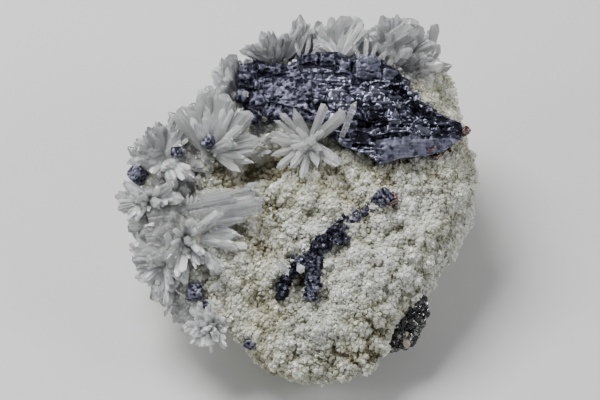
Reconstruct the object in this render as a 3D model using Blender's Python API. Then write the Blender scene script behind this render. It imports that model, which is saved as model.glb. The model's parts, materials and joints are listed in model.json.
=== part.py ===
"""Galena with sphalerite and quartz: a hand-sized mineral specimen from an ore vein.

A rounded lump of rock covered by fine druse carries one big etched galena crystal,
a thin vein and a few beads of galena, some sphalerite, and sprays of quartz
prisms round its upper and left edges. The underside is broken flat, and the
lump rests on it with its crystal face tilted towards the viewer.

Metres, +Z up. The origin is under the middle of the specimen's box, on the plane it rests on.
"""

import math
import random

import bmesh
import bpy
import numpy as np
from mathutils import Euler, Vector, noise
from mathutils.bvhtree import BVHTree

MM = 0.001

# The picture plane: shapes on the face are laid out right (u), up (v) and out (w) of it
VIEW_ELEVATION = math.radians(55)
RIGHT = Vector((1, 0, 0))
UP = Vector((0, math.sin(VIEW_ELEVATION), math.cos(VIEW_ELEVATION)))
TOWARDS = Vector((0, -math.cos(VIEW_ELEVATION), math.sin(VIEW_ELEVATION)))
FACE_CENTRE = Vector((0.8, -3.4, 40.0)) * MM

# The lump of rock, in millimetres
LUMP_OUTLINE = [
    (53.0, 9.5), (52.0, 0), (47.5, -15), (39.5, -26), (32, -33), (28, -41), (21.5, -50.5),
    (10.5, -54), (0.5, -55.5), (-9, -51), (-15.5, -43.5), (-29, -33), (-38, -24),
    (-43.5, -13), (-46, 0), (-43.5, 10.5), (-34, 21), (-23.5, 30), (-15, 38.5), (-2, 45.0),
    (13, 47.5), (28, 48), (39, 45), (44.5, 39.5), (48, 29), (50.2, 19),
]
LUMP_CUTS = 10            # geodesic divisions: 20 * cuts squared triangles
FRONT_V, BACK_V = -56.0, 48.0           # the outline's lowest and highest reach
RIM_LOW, RIM_SLOPE = 10.0, 0.35         # the rim's height in front, and its climb per mm of v
DOME_HEIGHT, DOME_POWER = 17.0, 2.9     # how the face bulges over its rim
TOP_SHARE, WALL_SHARE = 0.56, 0.85      # where the wall starts and ends, from the top to the bottom
FOOT_SCALE = 0.80                       # width of the underside, in rim widths
FOOT_SHIFT_BACK, FOOT_SHIFT_FRONT = -1.0, 6.5
WALL_BEND_BACK, WALL_BEND_FRONT = 2.0, 0.9
UNDERSIDE_MIDDLE = 2.0                  # its middle's y
DRUSE_LUMP, DRUSE_SIZE = 2.3, 9.5       # height and width of the druse's coarse lumps
FINE_SHARE, FINE_SIZE = 0.5, 0.55       # and of the finer ones on them, as shares of those
BREAK_LUMP, BREAK_SIZE = 3.0, 24.0      # height and width of the broken rock's lumps
BREAK_IN_FRONT = 0.15                   # share of them that the druse side keeps
BREAK_PLACE = Vector((7.0, 3.0, 1.0))   # sets where they fall
BACK_FROM = 0.5                         # the back begins where the surface turns this far away
FOOT_FADE, LOWEST_SIDE = 5.0, 0.6       # roughness dies out towards the underside

# The groove that the vein lies in: stretches from (u, v) to (u, v)
GROOVE = [((12, -9), (4, -15)), ((4, -15), (4.5, -29)), ((4, -17), (-4, -28))]
GROOVE_RADIUS, GROOVE_DEPTH = 4.0, 3.0
# Hollows of the face: from (u, v) to (u, v), radius, depth
HOLLOWS = [
    ((7, -43), (31, -41.5), 2.6, 2.8), ((-12, -30), (-10, -30), 5.0, 2.5),
    ((-15, 9), (-8, 12), 4.5, 4.0), ((-6, -8), (-20, -6), 3.0, 1.5),
]
RELIEF_FADE = 4.0         # the relief dies out in the last part of the way to the rim

# How the ground under a place is felt: from high up, and else further and further inwards
FROM_HIGH = 80.0
INWARD_STEPS, INWARD_STEP = 60, 0.012

# Gaps between pieces that touch
GAP = 0.4
SINK = 2.0                # how deep a crystal starts below the surface it grows from
SWELL_LIMIT = 2.2         # furthest a corner moves when faces move out, in gaps
ONE_PLANE = 0.995         # normals closer than this count as one face's
TINY_AREA = 1e-10
SMALL_SHARE = 0.2         # directions that a corner's faces hardly fix are left alone

QUARTZ_POINT = 0.95       # length of a crystal's six-faced point, in widths
LONGEST_POINT = 0.5       # and at most this share of the crystal
QUARTZ_ZIGZAG = 0.16      # how far the shoulder's corners rise and fall in turn, in points
QUARTZ_FOOT = 0.76        # its width at the root, in shoulder widths
ROOT_REACH = 3.0          # how far round a root the ground is felt for its level
CLEARANCE = 0.5           # how far crystals stay above the ground under them
HALF_THICK = 0.3          # half a crystal's usual thickness, in widths
MOST_RISE = 13.0          # how far a tip may rise over its root to clear the ground
LEAN, LEAN_TURN = 0.2, 2.4
FOOT_SHARE = 0.1          # how far out a crystal's foot lies from the root, in its reach
KNOB_SINK = 0.4           # how far a knob's middle lies below its spray's root, in its heights


def at(u, v, w=0.0):
    """The point u right, v up and w out of the middle of the face, from millimetres."""
    return FACE_CENTRE + (RIGHT * u + UP * v + TOWARDS * w) * MM


# Materials

def mineral(name, colour, roughness, metallic=0.0, transmission=0.0):
    """One plain finish, by its colour, roughness and shine."""
    material = bpy.data.materials.new(name)
    material.use_nodes = True
    shader = material.node_tree.nodes["Principled BSDF"]
    shader.inputs["Base Color"].default_value = (*colour, 1.0)
    shader.inputs["Roughness"].default_value = roughness
    shader.inputs["Metallic"].default_value = metallic
    shader.inputs["Transmission Weight"].default_value = transmission
    material.diffuse_color = (*colour, 1.0)
    return material


def make_materials():
    """The four finishes of the specimen."""
    return {
        "druse": mineral("druse_matrix", (0.56, 0.55, 0.44), 0.55),
        "galena": mineral("galena", (0.16, 0.17, 0.24), 0.3, metallic=0.9),
        "sphalerite": mineral("sphalerite", (0.10, 0.035, 0.02), 0.2),
        "quartz": mineral("quartz", (0.80, 0.82, 0.84), 0.15, transmission=0.6),
    }


# Mesh helpers

def add_object(name, vertices, faces):
    """One mesh object, its faces turned outwards."""
    mesh = bpy.data.meshes.new(name)
    mesh.from_pydata([tuple(v) for v in vertices], [], faces)
    shape = bmesh.new()
    shape.from_mesh(mesh)
    bmesh.ops.recalc_face_normals(shape, faces=shape.faces)
    bmesh.ops.triangulate(shape, faces=shape.faces)
    shape.to_mesh(mesh)
    shape.free()
    body = bpy.data.objects.new(name, mesh)
    bpy.context.collection.objects.link(body)
    return body


def discard(body):
    """Remove an object and its mesh."""
    mesh = body.data
    bpy.data.objects.remove(body)
    if mesh.users == 0:
        bpy.data.meshes.remove(mesh)


def volume_if_closed(mesh):
    """Volume inside a mesh, or None where it isn't closed or holds nothing."""
    shape = bmesh.new()
    shape.from_mesh(mesh)
    closed = len(shape.faces) > 3 and all(len(e.link_faces) == 2 for e in shape.edges)
    volume = shape.calc_volume() if closed else None
    shape.free()
    return volume


def bake_boolean(body, modifier, sound):
    """Apply a Boolean exactly, or by the manifold solver where the exact one fails."""
    for solver in ("EXACT", "MANIFOLD"):
        modifier.solver = solver
        depsgraph = bpy.context.evaluated_depsgraph_get()
        mesh = bpy.data.meshes.new_from_object(body.evaluated_get(depsgraph))
        if sound(volume_if_closed(mesh)):
            break
    body.modifiers.clear()
    old = body.data
    body.data = mesh
    bpy.data.meshes.remove(old)


def cut(body, cutter):
    """Cut a body by another one, which stays."""
    before = volume_if_closed(body.data) or 1.0
    modifier = body.modifiers.new("cut", "BOOLEAN")
    modifier.object = cutter
    modifier.operation = "DIFFERENCE"
    bake_boolean(body, modifier, lambda after: after and 0 < after < before * 1.001)


def join(bodies):
    """Unite overlapping bodies into the first of them."""
    first = bodies[0]
    if len(bodies) > 1:
        others = bpy.data.collections.new("others")
        for body in bodies[1:]:
            others.objects.link(body)
        modifier = first.modifiers.new("join", "BOOLEAN")
        modifier.operand_type = "COLLECTION"
        modifier.collection = others
        modifier.operation = "UNION"
        most = max(volume_if_closed(body.data) for body in bodies)
        bake_boolean(first, modifier, lambda after: after and after > most * 0.999)
        for body in bodies[1:]:
            discard(body)
        bpy.data.collections.remove(others)
    return first


def islands(shape):
    """The separate pieces of a bmesh, as lists of faces."""
    left = set(shape.faces)
    pieces = []
    while left:
        seed = left.pop()
        piece, edge = [seed], [seed]
        while edge:
            face = edge.pop()
            for side in face.edges:
                for other in side.link_faces:
                    if other in left:
                        left.remove(other)
                        piece.append(other)
                        edge.append(other)
        pieces.append(piece)
    return pieces


def piece_volume(piece):
    """Volume of one closed piece of a bmesh, by its faces' fans from the origin."""
    total = 0.0
    for face in piece:
        corners = [v.co for v in face.verts]
        for a, b in zip(corners[1:-1], corners[2:]):
            total += corners[0].dot(a.cross(b)) / 6
    return total


def tidy(body, weld=0.004 * MM):
    """Keep the biggest piece of a body, and clear the slivers that cutting leaves."""
    shape = bmesh.new()
    shape.from_mesh(body.data)
    bmesh.ops.remove_doubles(shape, verts=shape.verts, dist=weld)
    bmesh.ops.dissolve_degenerate(shape, edges=shape.edges, dist=weld)
    pieces = sorted(islands(shape), key=piece_volume)
    spare = [face for piece in pieces[:-1] for face in piece]
    bmesh.ops.delete(shape, geom=spare, context="FACES")
    bmesh.ops.triangulate(shape, faces=shape.faces)
    bmesh.ops.dissolve_degenerate(shape, edges=shape.edges, dist=weld)
    bmesh.ops.triangulate(shape, faces=shape.faces)
    shape.to_mesh(body.data)
    shape.free()


def swollen(body, amount=GAP):
    """A copy whose faces have all moved outwards by the gap, to cut neighbours with."""
    shape = bmesh.new()
    shape.from_mesh(body.data)
    shape.normal_update()
    moves = {}
    for vertex in shape.verts:
        normals = []
        for face in vertex.link_faces:
            new = all(face.normal.dot(normal) < ONE_PLANE for normal in normals)
            if new and face.calc_area() > TINY_AREA:
                normals.append(face.normal.copy())
        if not normals:
            continue
        rows = np.array([list(normal) for normal in normals])
        wanted = np.full(len(rows), amount * MM)
        move = Vector(np.linalg.lstsq(rows, wanted, rcond=SMALL_SHARE)[0])
        limit = SWELL_LIMIT * amount * MM
        moves[vertex] = move if move.length <= limit else move.normalized() * limit
    for vertex, move in moves.items():
        vertex.co += move
    mesh = bpy.data.meshes.new("swollen")
    shape.to_mesh(mesh)
    shape.free()
    copy = bpy.data.objects.new("swollen", mesh)
    bpy.context.collection.objects.link(copy)
    hide(copy)
    return copy


def hide(body):
    """Mark a cutter, which is no part of the specimen."""
    body.hide_render = True
    body.display_type = "WIRE"


def box_of(body):
    """Lowest and highest corner of a body's mesh."""
    points = np.array([v.co for v in body.data.vertices])
    return points.min(axis=0), points.max(axis=0)


def boxes_meet(a, b):
    """Whether two bodies' boxes overlap."""
    (low_a, high_a), (low_b, high_b) = box_of(a), box_of(b)
    return bool((low_a <= high_b).all() and (low_b <= high_a).all())


# The lump of rock

def outline_radius(angle):
    """Distance from the face's middle to the lump's outline, at an angle."""
    marks = sorted((math.atan2(v, u), math.hypot(u, v)) for u, v in LUMP_OUTLINE)
    first, last = marks[0], marks[-1]
    marks = [(last[0] - math.tau, last[1])] + marks + [(first[0] + math.tau, first[1])]
    for (a, ra), (b, rb) in zip(marks, marks[1:]):
        if a <= angle <= b:
            return ra + (rb - ra) * (angle - a) / (b - a)
    return first[1]


def rim_depth(v):
    """How far out the lump's rim lies at height v, from its height above the table."""
    height = RIM_LOW + RIM_SLOPE * (v - FRONT_V)
    return (height - FACE_CENTRE.z / MM - UP.z * v) / TOWARDS.z


def near_segment(u, v, start, end):
    """Distance in the picture plane to a segment."""
    p, a, b = Vector((u, v)), Vector(start), Vector(end)
    along = (p - a).dot(b - a) / (b - a).length_squared
    return (p - a - (b - a) * min(1, max(0, along))).length


def hollow(distance, radius, depth):
    """Depth of a round-bottomed hollow at a distance from its middle."""
    return depth * math.exp(-(distance / radius) ** 2)


def relief(u, v):
    """Grooves and hollows of the crystal face, in millimetres below the dome."""
    to_groove = min(near_segment(u, v, start, end) for start, end in GROOVE)
    depth = hollow(to_groove, GROOVE_RADIUS, GROOVE_DEPTH)
    for start, end, radius, most in HOLLOWS:
        depth += hollow(near_segment(u, v, start, end), radius, most)
    return depth


def blend(back, front, share):
    """A value between the back's and the front's."""
    return back + (front - back) * share


def lump_point(direction):
    """Where one direction of a sphere lands on the lump, before its roughness."""
    tilt = math.acos(max(-1.0, min(1.0, direction.z)))
    angle = math.atan2(direction.y, direction.x)
    share = tilt / math.pi
    radius = outline_radius(angle)
    if share <= TOP_SHARE:
        q = math.sin(0.5 * math.pi * share / TOP_SHARE)
        u, v = q * radius * math.cos(angle), q * radius * math.sin(angle)
        dome = DOME_HEIGHT * max(0.0, 1 - q**DOME_POWER) ** (1 / DOME_POWER)
        return at(u, v, rim_depth(v) + dome - relief(u, v) * min(1, RELIEF_FADE * (1 - q)))
    u, v = radius * math.cos(angle), radius * math.sin(angle)
    rim = at(u, v, rim_depth(v))
    front = min(1.0, max(0.0, (BACK_V - v) / (BACK_V - FRONT_V)))
    shift = blend(FOOT_SHIFT_BACK, FOOT_SHIFT_FRONT, front) * MM
    foot = Vector((rim.x * FOOT_SCALE, rim.y * FOOT_SCALE + shift, 0.0))
    fall = min(1.0, (share - TOP_SHARE) / (WALL_SHARE - TOP_SHARE))
    point = rim.lerp(foot, fall ** blend(WALL_BEND_BACK, WALL_BEND_FRONT, front))
    point.z = rim.z * (1 - fall)
    if share > WALL_SHARE:
        inner = (1 - share) / (1 - WALL_SHARE)
        middle = Vector((0.0, UNDERSIDE_MIDDLE * MM, 0.0))
        point = middle.lerp(foot, inner)
    return point


def geodesic_sphere(cuts):
    """Unit sphere of 20 * cuts squared even triangles, as a bmesh."""
    shape = bmesh.new()
    bmesh.ops.create_icosphere(shape, subdivisions=1, radius=1.0)
    bmesh.ops.subdivide_edges(shape, edges=shape.edges, cuts=cuts - 1, use_grid_fill=True)
    for vertex in shape.verts:
        vertex.co.normalize()
    return shape


def roughness_of(point, share_back):
    """Height of the lump's roughness: druse lumps in front, broken rock behind."""
    place = point / MM
    fine = noise.noise(place / (FINE_SIZE * DRUSE_SIZE))
    druse = noise.noise(place / DRUSE_SIZE) + FINE_SHARE * fine
    rock = noise.noise(place / BREAK_SIZE + BREAK_PLACE)
    return (DRUSE_LUMP * druse + BREAK_LUMP * rock * blend(1.0, BREAK_IN_FRONT, 1 - share_back)) * MM


def make_lump(material):
    """The druse-covered rock, resting on a flat broken underside."""
    shape = geodesic_sphere(LUMP_CUTS)
    for vertex in shape.verts:
        vertex.co = lump_point(vertex.co.copy())
    shape.normal_update()
    bmesh.ops.recalc_face_normals(shape, faces=shape.faces)
    shape.normal_update()
    for vertex in shape.verts:
        if vertex.co.z <= 0.01 * MM:
            vertex.co.z = 0.0
            continue
        back = min(1.0, max(0.0, BACK_FROM - vertex.normal.dot(TOWARDS)))
        fade = min(1.0, vertex.co.z / (FOOT_FADE * MM))
        vertex.co += vertex.normal * roughness_of(vertex.co, back) * fade
        vertex.co.z = max(vertex.co.z, LOWEST_SIDE * MM)
    mesh = bpy.data.meshes.new("matrix")
    flat = [f for f in shape.faces if all(v.co.z == 0 for v in f.verts)]
    bmesh.ops.dissolve_faces(shape, faces=flat, use_verts=True)
    bmesh.ops.triangulate(shape, faces=shape.faces)
    shape.to_mesh(mesh)
    shape.free()
    mesh.materials.append(material)
    lump = bpy.data.objects.new("matrix", mesh)
    bpy.context.collection.objects.link(lump)
    return lump


# What other pieces grow from

class Ground:
    """The surface seen from the front: the lump, and later the galena in front of it."""

    def __init__(self, body):
        self.trees = []
        self.add(body)

    def add(self, body):
        shape = bmesh.new()
        shape.from_mesh(body.data)
        self.trees.append(BVHTree.FromBMesh(shape))
        shape.free()

    def depth(self, u, v, layer=None):
        """How far out the surface is at (u, v), or at the nearest place inwards."""
        trees = self.trees if layer is None else self.trees[layer:layer + 1]
        for step in range(INWARD_STEPS):
            scale = 1 - step * INWARD_STEP
            origin = at(u * scale, v * scale, FROM_HIGH)
            hits = [tree.ray_cast(origin, -TOWARDS)[3] for tree in trees]
            reached = [FROM_HIGH - hit / MM for hit in hits if hit is not None]
            if reached:
                return max(reached)
        return 0.0


# Quartz

def across_axis(axis):
    """Direction square to an axis, lying in the picture plane where it can."""
    broad = axis.cross(TOWARDS)
    if broad.length < 0.2:
        broad = axis.cross(UP)
    return broad.normalized()


def quartz_crystal(base, tip, width, flat=1.0, lean=0.0):
    """A six-sided prism that widens from its root and ends in a six-faced point."""
    axis = (tip - base).normalized()
    length = (tip - base).length
    broad = across_axis(axis)
    thin = axis.cross(broad)
    radius = 0.5 * width * MM
    point = min(QUARTZ_POINT * width * MM * math.sqrt(flat), LONGEST_POINT * length)
    rings = [(base, QUARTZ_FOOT), (tip - axis * point, 1.0)]
    vertices = []
    for centre, scale in rings:
        zigzag = 0.0 if centre is base else QUARTZ_ZIGZAG * point
        for side in range(6):
            angle = side * math.pi / 3
            spread = broad * math.cos(angle) + thin * math.sin(angle) * flat
            rise = zigzag if side % 2 else -zigzag
            vertices.append(centre + spread * radius * scale + axis * rise)
    vertices.append(tip + broad * radius * lean)
    faces = [tuple(range(5, -1, -1))]
    for side in range(6):
        after = (side + 1) % 6
        faces.append((side, after, after + 6, side + 6))
        faces.append((side + 6, after + 6, 12))
    return add_object("crystal", vertices, faces)


def root_lump(centre, sizes):
    """A low rounded knob that holds the feet of a spray together."""
    shape = bmesh.new()
    bmesh.ops.create_icosphere(shape, subdivisions=1, radius=1.0)
    mesh = bpy.data.meshes.new("root")
    for vertex in shape.verts:
        x, y, z = vertex.co
        offset = RIGHT * x * sizes[0] + UP * y * sizes[1] + TOWARDS * z * sizes[2]
        vertex.co = centre + offset * MM
    bmesh.ops.recalc_face_normals(shape, faces=shape.faces)
    shape.to_mesh(mesh)
    shape.free()
    body = bpy.data.objects.new("root", mesh)
    bpy.context.collection.objects.link(body)
    return body


class Spike:
    """One crystal of a spray: its tip and foot are offsets from the root, in millimetres."""

    def __init__(self, du, dv, rise, width, flat=1.0, foot=None):
        self.du, self.dv, self.rise = du, dv, rise
        self.width, self.flat = width, flat
        self.foot = foot or (FOOT_SHARE * du, FOOT_SHARE * dv)


# Sprays by node: the root (u, v), the knobs that hold the crystals' feet (offset, size),
# and the crystals
QUARTZ_SPRAYS = {
    "quartz_star": ((3.6, 17.1), [((0, 0), (4.0, 3.4, 3.4))], [
        Spike(-10.9, 6.9, 4.5, 1.9), Spike(-9.0, 9.0, 5.5, 1.9),
        Spike(-11.6, 3.2, 3, 1.8), Spike(-12.0, 0.4, 4, 2.6), Spike(-11.9, -4.0, 2, 2.4),
        Spike(-10.0, -7.6, 4, 2.4), Spike(-5.8, -7.6, 5, 2.6), Spike(-2.4, -11.0, 6, 2.8),
        Spike(2.4, -7.4, 6, 3.2), Spike(8.6, -6.6, 7, 5.0, 0.6),
        Spike(-5.4, 10.4, 5, 3.2), Spike(4.4, 11.4, 6, 2.6),
        Spike(10.4, 8.9, 3, 4.4, 0.6), Spike(0.6, 0.8, 8.5, 3.4), Spike(3.6, -2.4, 8.0, 3.0),
        Spike(-3.4, -1.6, 8.0, 3.0),
    ]),
    "quartz_fan_upper_left": ((-25.8, 14.4), [((0, 0), (6.6, 5.4, 3.8))], [
        Spike(-2.9, 16.2, 5.5, 2.2, foot=(-3.3, 4.5)), Spike(0.9, 12.4, 7, 2.6),
        Spike(11.2, 12.4, 4.5, 6.4, 0.4), Spike(5.0, 17.2, 4, 6.6, 0.45),
        Spike(9.8, 7.6, 8, 2.2), Spike(14.0, 3.4, 4, 6.4, 0.4), Spike(12.8, -3.4, 5, 2.6),
        Spike(8.6, -6.2, 4.5, 2.4), Spike(6.0, 2.6, 9, 4.4), Spike(-9.2, 13.6, 2, 8.6, 0.4),
        Spike(-1.8, 19.8, 2, 8.0, 0.4), Spike(-5.0, 8.6, 7, 3.2),
    ]),
    "quartz_blocks_top_left": ((-40.4, 12.6), [((0, 0), (7.6, 7.0, 4.2))], [
        Spike(3.2, 13.4, 3, 3.0), Spike(-4.6, 9.6, 3, 6.6, 0.8), Spike(-10.8, 3.4, 2, 6.8, 0.8),
        Spike(-11.2, -3.6, 1, 5.4, 0.8), Spike(-5.8, -1.2, 8, 7.4, 0.9),
        Spike(-0.8, 11.0, 4, 5.4, 0.8), Spike(7.2, 9.6, 4, 4.6), Spike(6.6, 2.6, 7, 5.0),
        Spike(9.6, -6.6, 5, 4.0), Spike(3.6, -8.6, 6.5, 5.0),
    ]),
    "quartz_blade_left": (
        (-33.4, -11.6), [((0, 0), (8.4, 5.8, 4.2)), ((-9.6, 5.0), (4.6, 3.6, 3.6))], [
            Spike(22.6, 10.4, 6, 8.6, 0.42, foot=(-11.0, 5.2)),
            Spike(21.0, 14.4, 4, 4.6, 0.5, foot=(-9.0, 8.4)),
            Spike(17.4, 1.2, 5, 2.8), Spike(16.0, -2.8, 4, 3.2), Spike(5.6, -7.4, 7, 2.4),
            Spike(-2.6, -12.0, 6, 5.2, 0.6), Spike(11.0, -9.6, 2.5, 5.0, 0.5),
            Spike(-0.9, 6.8, 10, 2.2), Spike(5.6, 4.2, 10, 2.6), Spike(-5.6, -6.2, 8, 4.2),
            Spike(1.2, -1.0, 9.5, 3.0),
        ],
    ),
    "quartz_edge_left": ((-44.4, -0.4), [((0, 0), (6.8, 5.2, 3.8))], [
        Spike(-10.8, 1.4, 1, 5.6, 0.6), Spike(-8.2, 5.6, 2, 4.6, 0.7),
        Spike(-9.8, -2.4, 2, 4.8, 0.7), Spike(-6.6, -6.4, 3, 5.0, 0.7),
        Spike(6.6, 4.6, 7, 4.4, 0.7), Spike(10.6, 1.2, 6, 3.6), Spike(-3.4, 1.2, 7, 4.8),
        Spike(3.0, -0.8, 8, 3.4),
    ]),
    "quartz_lower_left": ((-40.0, -18.2), [((0, 0), (5.8, 6.4, 3.8))], [
        Spike(-10.2, 5.6, 1, 5.6, 0.6), Spike(-9.6, 0.4, 3, 6.8, 0.6),
        Spike(-8.2, -5.4, 2, 6.4, 0.6), Spike(-2.2, -11.0, 2, 5.0, 0.6),
        Spike(1.6, -14.4, 2, 4.2), Spike(-3.0, 0.2, 7, 5.0), Spike(2.6, -5.6, 6, 3.6),
    ]),
    "quartz_crown_left": ((-19.2, 32.0), [((0, 0), (5.0, 5.0, 4.8))], [
        Spike(-1.4, 12.0, 5, 6.8, 0.6), Spike(-6.6, 6.8, 5, 3.6),
        Spike(-5.0, -0.8, 6, 5.4, 0.6), Spike(-5.2, 9.6, -1, 5.6, 0.7),
    ]),
    "quartz_crown_spray": ((-6.4, 41.5), [((0, 0), (9.8, 4.2, 5.0))], [
        Spike(-11.4, 4.2, 4, 3.0), Spike(-7.4, 6.0, 5, 3.0, foot=(-3.0, 0.5)),
        Spike(-5.0, 9.6, 4, 3.4), Spike(-1.6, 9.8, 5.5, 3.2), Spike(2.6, 8.8, 4, 3.0),
        Spike(7.4, 14.8, 3, 5.0, 0.8, foot=(5.6, 0.5)),
        Spike(10.6, 12.0, 2, 4.0, foot=(6.2, 0.5)),
        Spike(-4.0, 7.6, -5, 5.4, 0.7), Spike(3.0, 9.0, -4, 5.4, 0.7),
    ]),
    "quartz_crown_blade": ((13.0, 42.4), [((0, 0), (9.6, 4.6, 5.2))], [
        Spike(0.8, 13.4, 2, 12.0, 0.34, foot=(0.0, 0.5)), Spike(-6.0, 10.0, 1, 6.0, 0.6),
        Spike(6.0, 12.6, 1, 5.4, 0.7), Spike(8.6, 9.0, 6.5, 3.2, foot=(0.0, 0.8)),
        Spike(9.8, 7.2, 2, 6.0, 0.6), Spike(-8.6, 5.6, 2, 5.0, 0.6),
        Spike(-0.6, 8.6, -5, 6.4, 0.7),
    ]),
    "quartz_crown_fan": ((29.4, 41.2), [((0, 0), (8.6, 4.8, 5.2))], [
        Spike(-4.2, 14.6, 1, 6.6, 0.6), Spike(0.8, 15.2, 1, 4.8), Spike(5.0, 13.8, 2, 6.2, 0.6),
        Spike(8.6, 10.8, 2, 6.2, 0.5), Spike(12.2, 12.2, 0, 3.6),
        Spike(5.8, 10.0, 6.5, 7.4, 0.45, foot=(-5.0, 4.0)), Spike(12.6, 6.2, 2, 5.2, 0.6),
        Spike(14.4, -0.6, 3, 5.4, 0.6), Spike(1.0, 10.2, -5, 6.8, 0.7),
        Spike(8.6, 8.0, -6, 6.0, 0.7), Spike(3.4, 3.4, 8, 5.0), Spike(-7.6, 8.4, 3, 5.0, 0.6),
    ]),
}

# A ball of short crystals low on the left, worked out by a loop
ROSETTE_ROOT = (-26.2, -37.4)
ROSETTE_RADIUS = 8.6
ROSETTE_RINGS = [(7, 0.16, 2.8), (4, 0.66, 2.6), (2, 1.15, 2.4)]  # count, climb, width
ROSETTE_KNOB = (4.6, 4.6, 3.8)
ROSETTE_KNOB_SINK, ROSETTE_LIFT = 0.5, 1.0
ROSETTE_TWIST = 3.0       # turn of each ring, per its climb
ROSETTE_FLAT = 0.8

# Single crystals: foot (u, v), tip (u, v), their rises over the surface, and width
LONE_PRISMS = {
    "quartz_prism_on_galena": ((13.0, 18.8), (17.4, 29.6), 1.0, 1.4, 2.1),
    "quartz_prism_grey": ((-16.8, 1.4), (-12.0, 5.4), -1.2, 2.5, 3.4),
    "quartz_prism_by_vein": ((-7.0, -17.6), (-2.6, -22.4), -1.2, 3.0, 2.6),
}
LONE_FLAT, LONE_LEAN = 0.9, 0.1


def quartz_parts(crystals, knobs):
    """The separate crystals and knobs of one spray."""
    return [root_lump(*knob) for knob in knobs] + [quartz_crystal(*c) for c in crystals]


def root_level(root, ground):
    """How far out a spray's root lies: level with the proudest ground close to it."""
    u, v = root
    spots = [(u, v)]
    for side in range(6):
        angle = side * math.pi / 3
        spots.append((u + ROOT_REACH * math.cos(angle), v + ROOT_REACH * math.sin(angle)))
    depths = sorted(ground.depth(*spot, layer=0) for spot in spots)
    return depths[-2]


def cleared_tip(foot, foot_w, tip, tip_w, width, ground):
    """How far out a tip must lie for its crystal to stay above the ground on its way."""
    for along in (0.4, 0.5, 0.6, 0.7, 0.8, 0.9, 1.0):
        u = foot[0] + (tip[0] - foot[0]) * along
        v = foot[1] + (tip[1] - foot[1]) * along
        if inside_outline(u, v):
            above = ground.depth(u, v) + CLEARANCE + HALF_THICK * width
            tip_w = max(tip_w, (above - foot_w * (1 - along)) / along)
    return tip_w


def spray_crystals(root, spikes, ground):
    """Feet and tips in space of the crystals of one spray."""
    u, v = root
    level = root_level(root, ground)
    crystals = []
    for number, spike in enumerate(spikes):
        tip_u, tip_v = u + spike.du, v + spike.dv
        foot_u, foot_v = u + spike.foot[0], v + spike.foot[1]
        foot_w = level - SINK
        tip_w = level + spike.rise
        if spike.rise > 0:
            tip_w = cleared_tip(
                (foot_u, foot_v), foot_w, (tip_u, tip_v), tip_w, spike.width, ground,
            )
            tip_w = min(tip_w, level + MOST_RISE)
        lean = LEAN * math.sin(LEAN_TURN * number)
        crystals.append((
            at(foot_u, foot_v, foot_w), at(tip_u, tip_v, tip_w), spike.width, spike.flat, lean,
        ))
    return crystals


def inside_outline(u, v, margin=1.5):
    """Whether (u, v) is over the lump, at least a margin inside its outline."""
    return math.hypot(u, v) < outline_radius(math.atan2(v, u)) - margin


def rosette_crystals(ground):
    """Crystals of the rosette, in rings that climb from its sides to its middle."""
    dice = random.Random(5)
    u, v = ROSETTE_ROOT
    depth = ground.depth(u, v, layer=0)
    crystals = []
    for count, climb, width in ROSETTE_RINGS:
        for i in range(count):
            angle = math.tau * (i + dice.uniform(-0.25, 0.25)) / count + climb * ROSETTE_TWIST
            reach = ROSETTE_RADIUS * dice.uniform(0.85, 1.08)
            out, rise = reach * math.cos(climb), reach * math.sin(climb)
            du, dv = out * math.cos(angle), out * math.sin(angle)
            size = width * dice.uniform(0.9, 1.2)
            crystals.append((
                at(u + FOOT_SHARE * du, v + FOOT_SHARE * dv, depth - SINK),
                at(u + du, v + dv, depth + ROSETTE_LIFT + rise),
                size, ROSETTE_FLAT, dice.uniform(-LEAN, LEAN),
            ))
    return crystals


# Galena

# Pairs of outline point (at the back) and the bevelled front face's point, clockwise
GALENA_EDGE = [
    ((-18.5, 39), (-17, 38.3)), ((-17.5, 41.5), (-16.3, 40.2)), ((-1.5, 41.5), (-1, 40.4)),
    ((-0.5, 44.8), (0.3, 43.6)), ((11.7, 45), (11.2, 43.8)), ((16, 43), (16, 41.8)),
    ((18, 44.3), (18.4, 43.1)), ((24, 44.2), (23.6, 43)), ((27, 41), (26.2, 40.2)),
    ((30.6, 39.6), (29.8, 38.6)), ((31.2, 37), (30.4, 36.2)), ((33.9, 36), (33, 35)),
    ((34.2, 32.5), (33.2, 31.8)), ((37.5, 30), (36.5, 29.2)), ((39, 28), (38, 27)),
    ((44.7, 25), (43.5, 23.8)), ((49, 23.4), (46.5, 22.6)), ((51.2, 20.4), (47.6, 20.8)),
    ((48, 17.4), (45, 19.6)), ((44, 14.7), (41.5, 18.4)), ((39, 13.2), (37.5, 17.6)),
    ((30.6, 12.3), (30.5, 16.6)), ((24.6, 10.2), (25, 15.2)), ((22, 13), (21.5, 16.2)),
    ((13.5, 16), (13.5, 18.3)), ((6, 22.5), (6.5, 23.5)), ((-2.4, 24.2), (-2, 25.6)),
    ((-10.8, 24.0), (-10.5, 25.4)), ((-15, 26.2), (-14.2, 27.2)), ((-18, 31.5), (-16.8, 32)),
]
GALENA_BEVEL = 1.6
GALENA_BURIED = 1.5       # how deep its back is sunk into the lump
GALENA_THICK, GALENA_TIP_THICK, GALENA_TIP = 15.0, 6.0, (43.0, 51.2)
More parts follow.
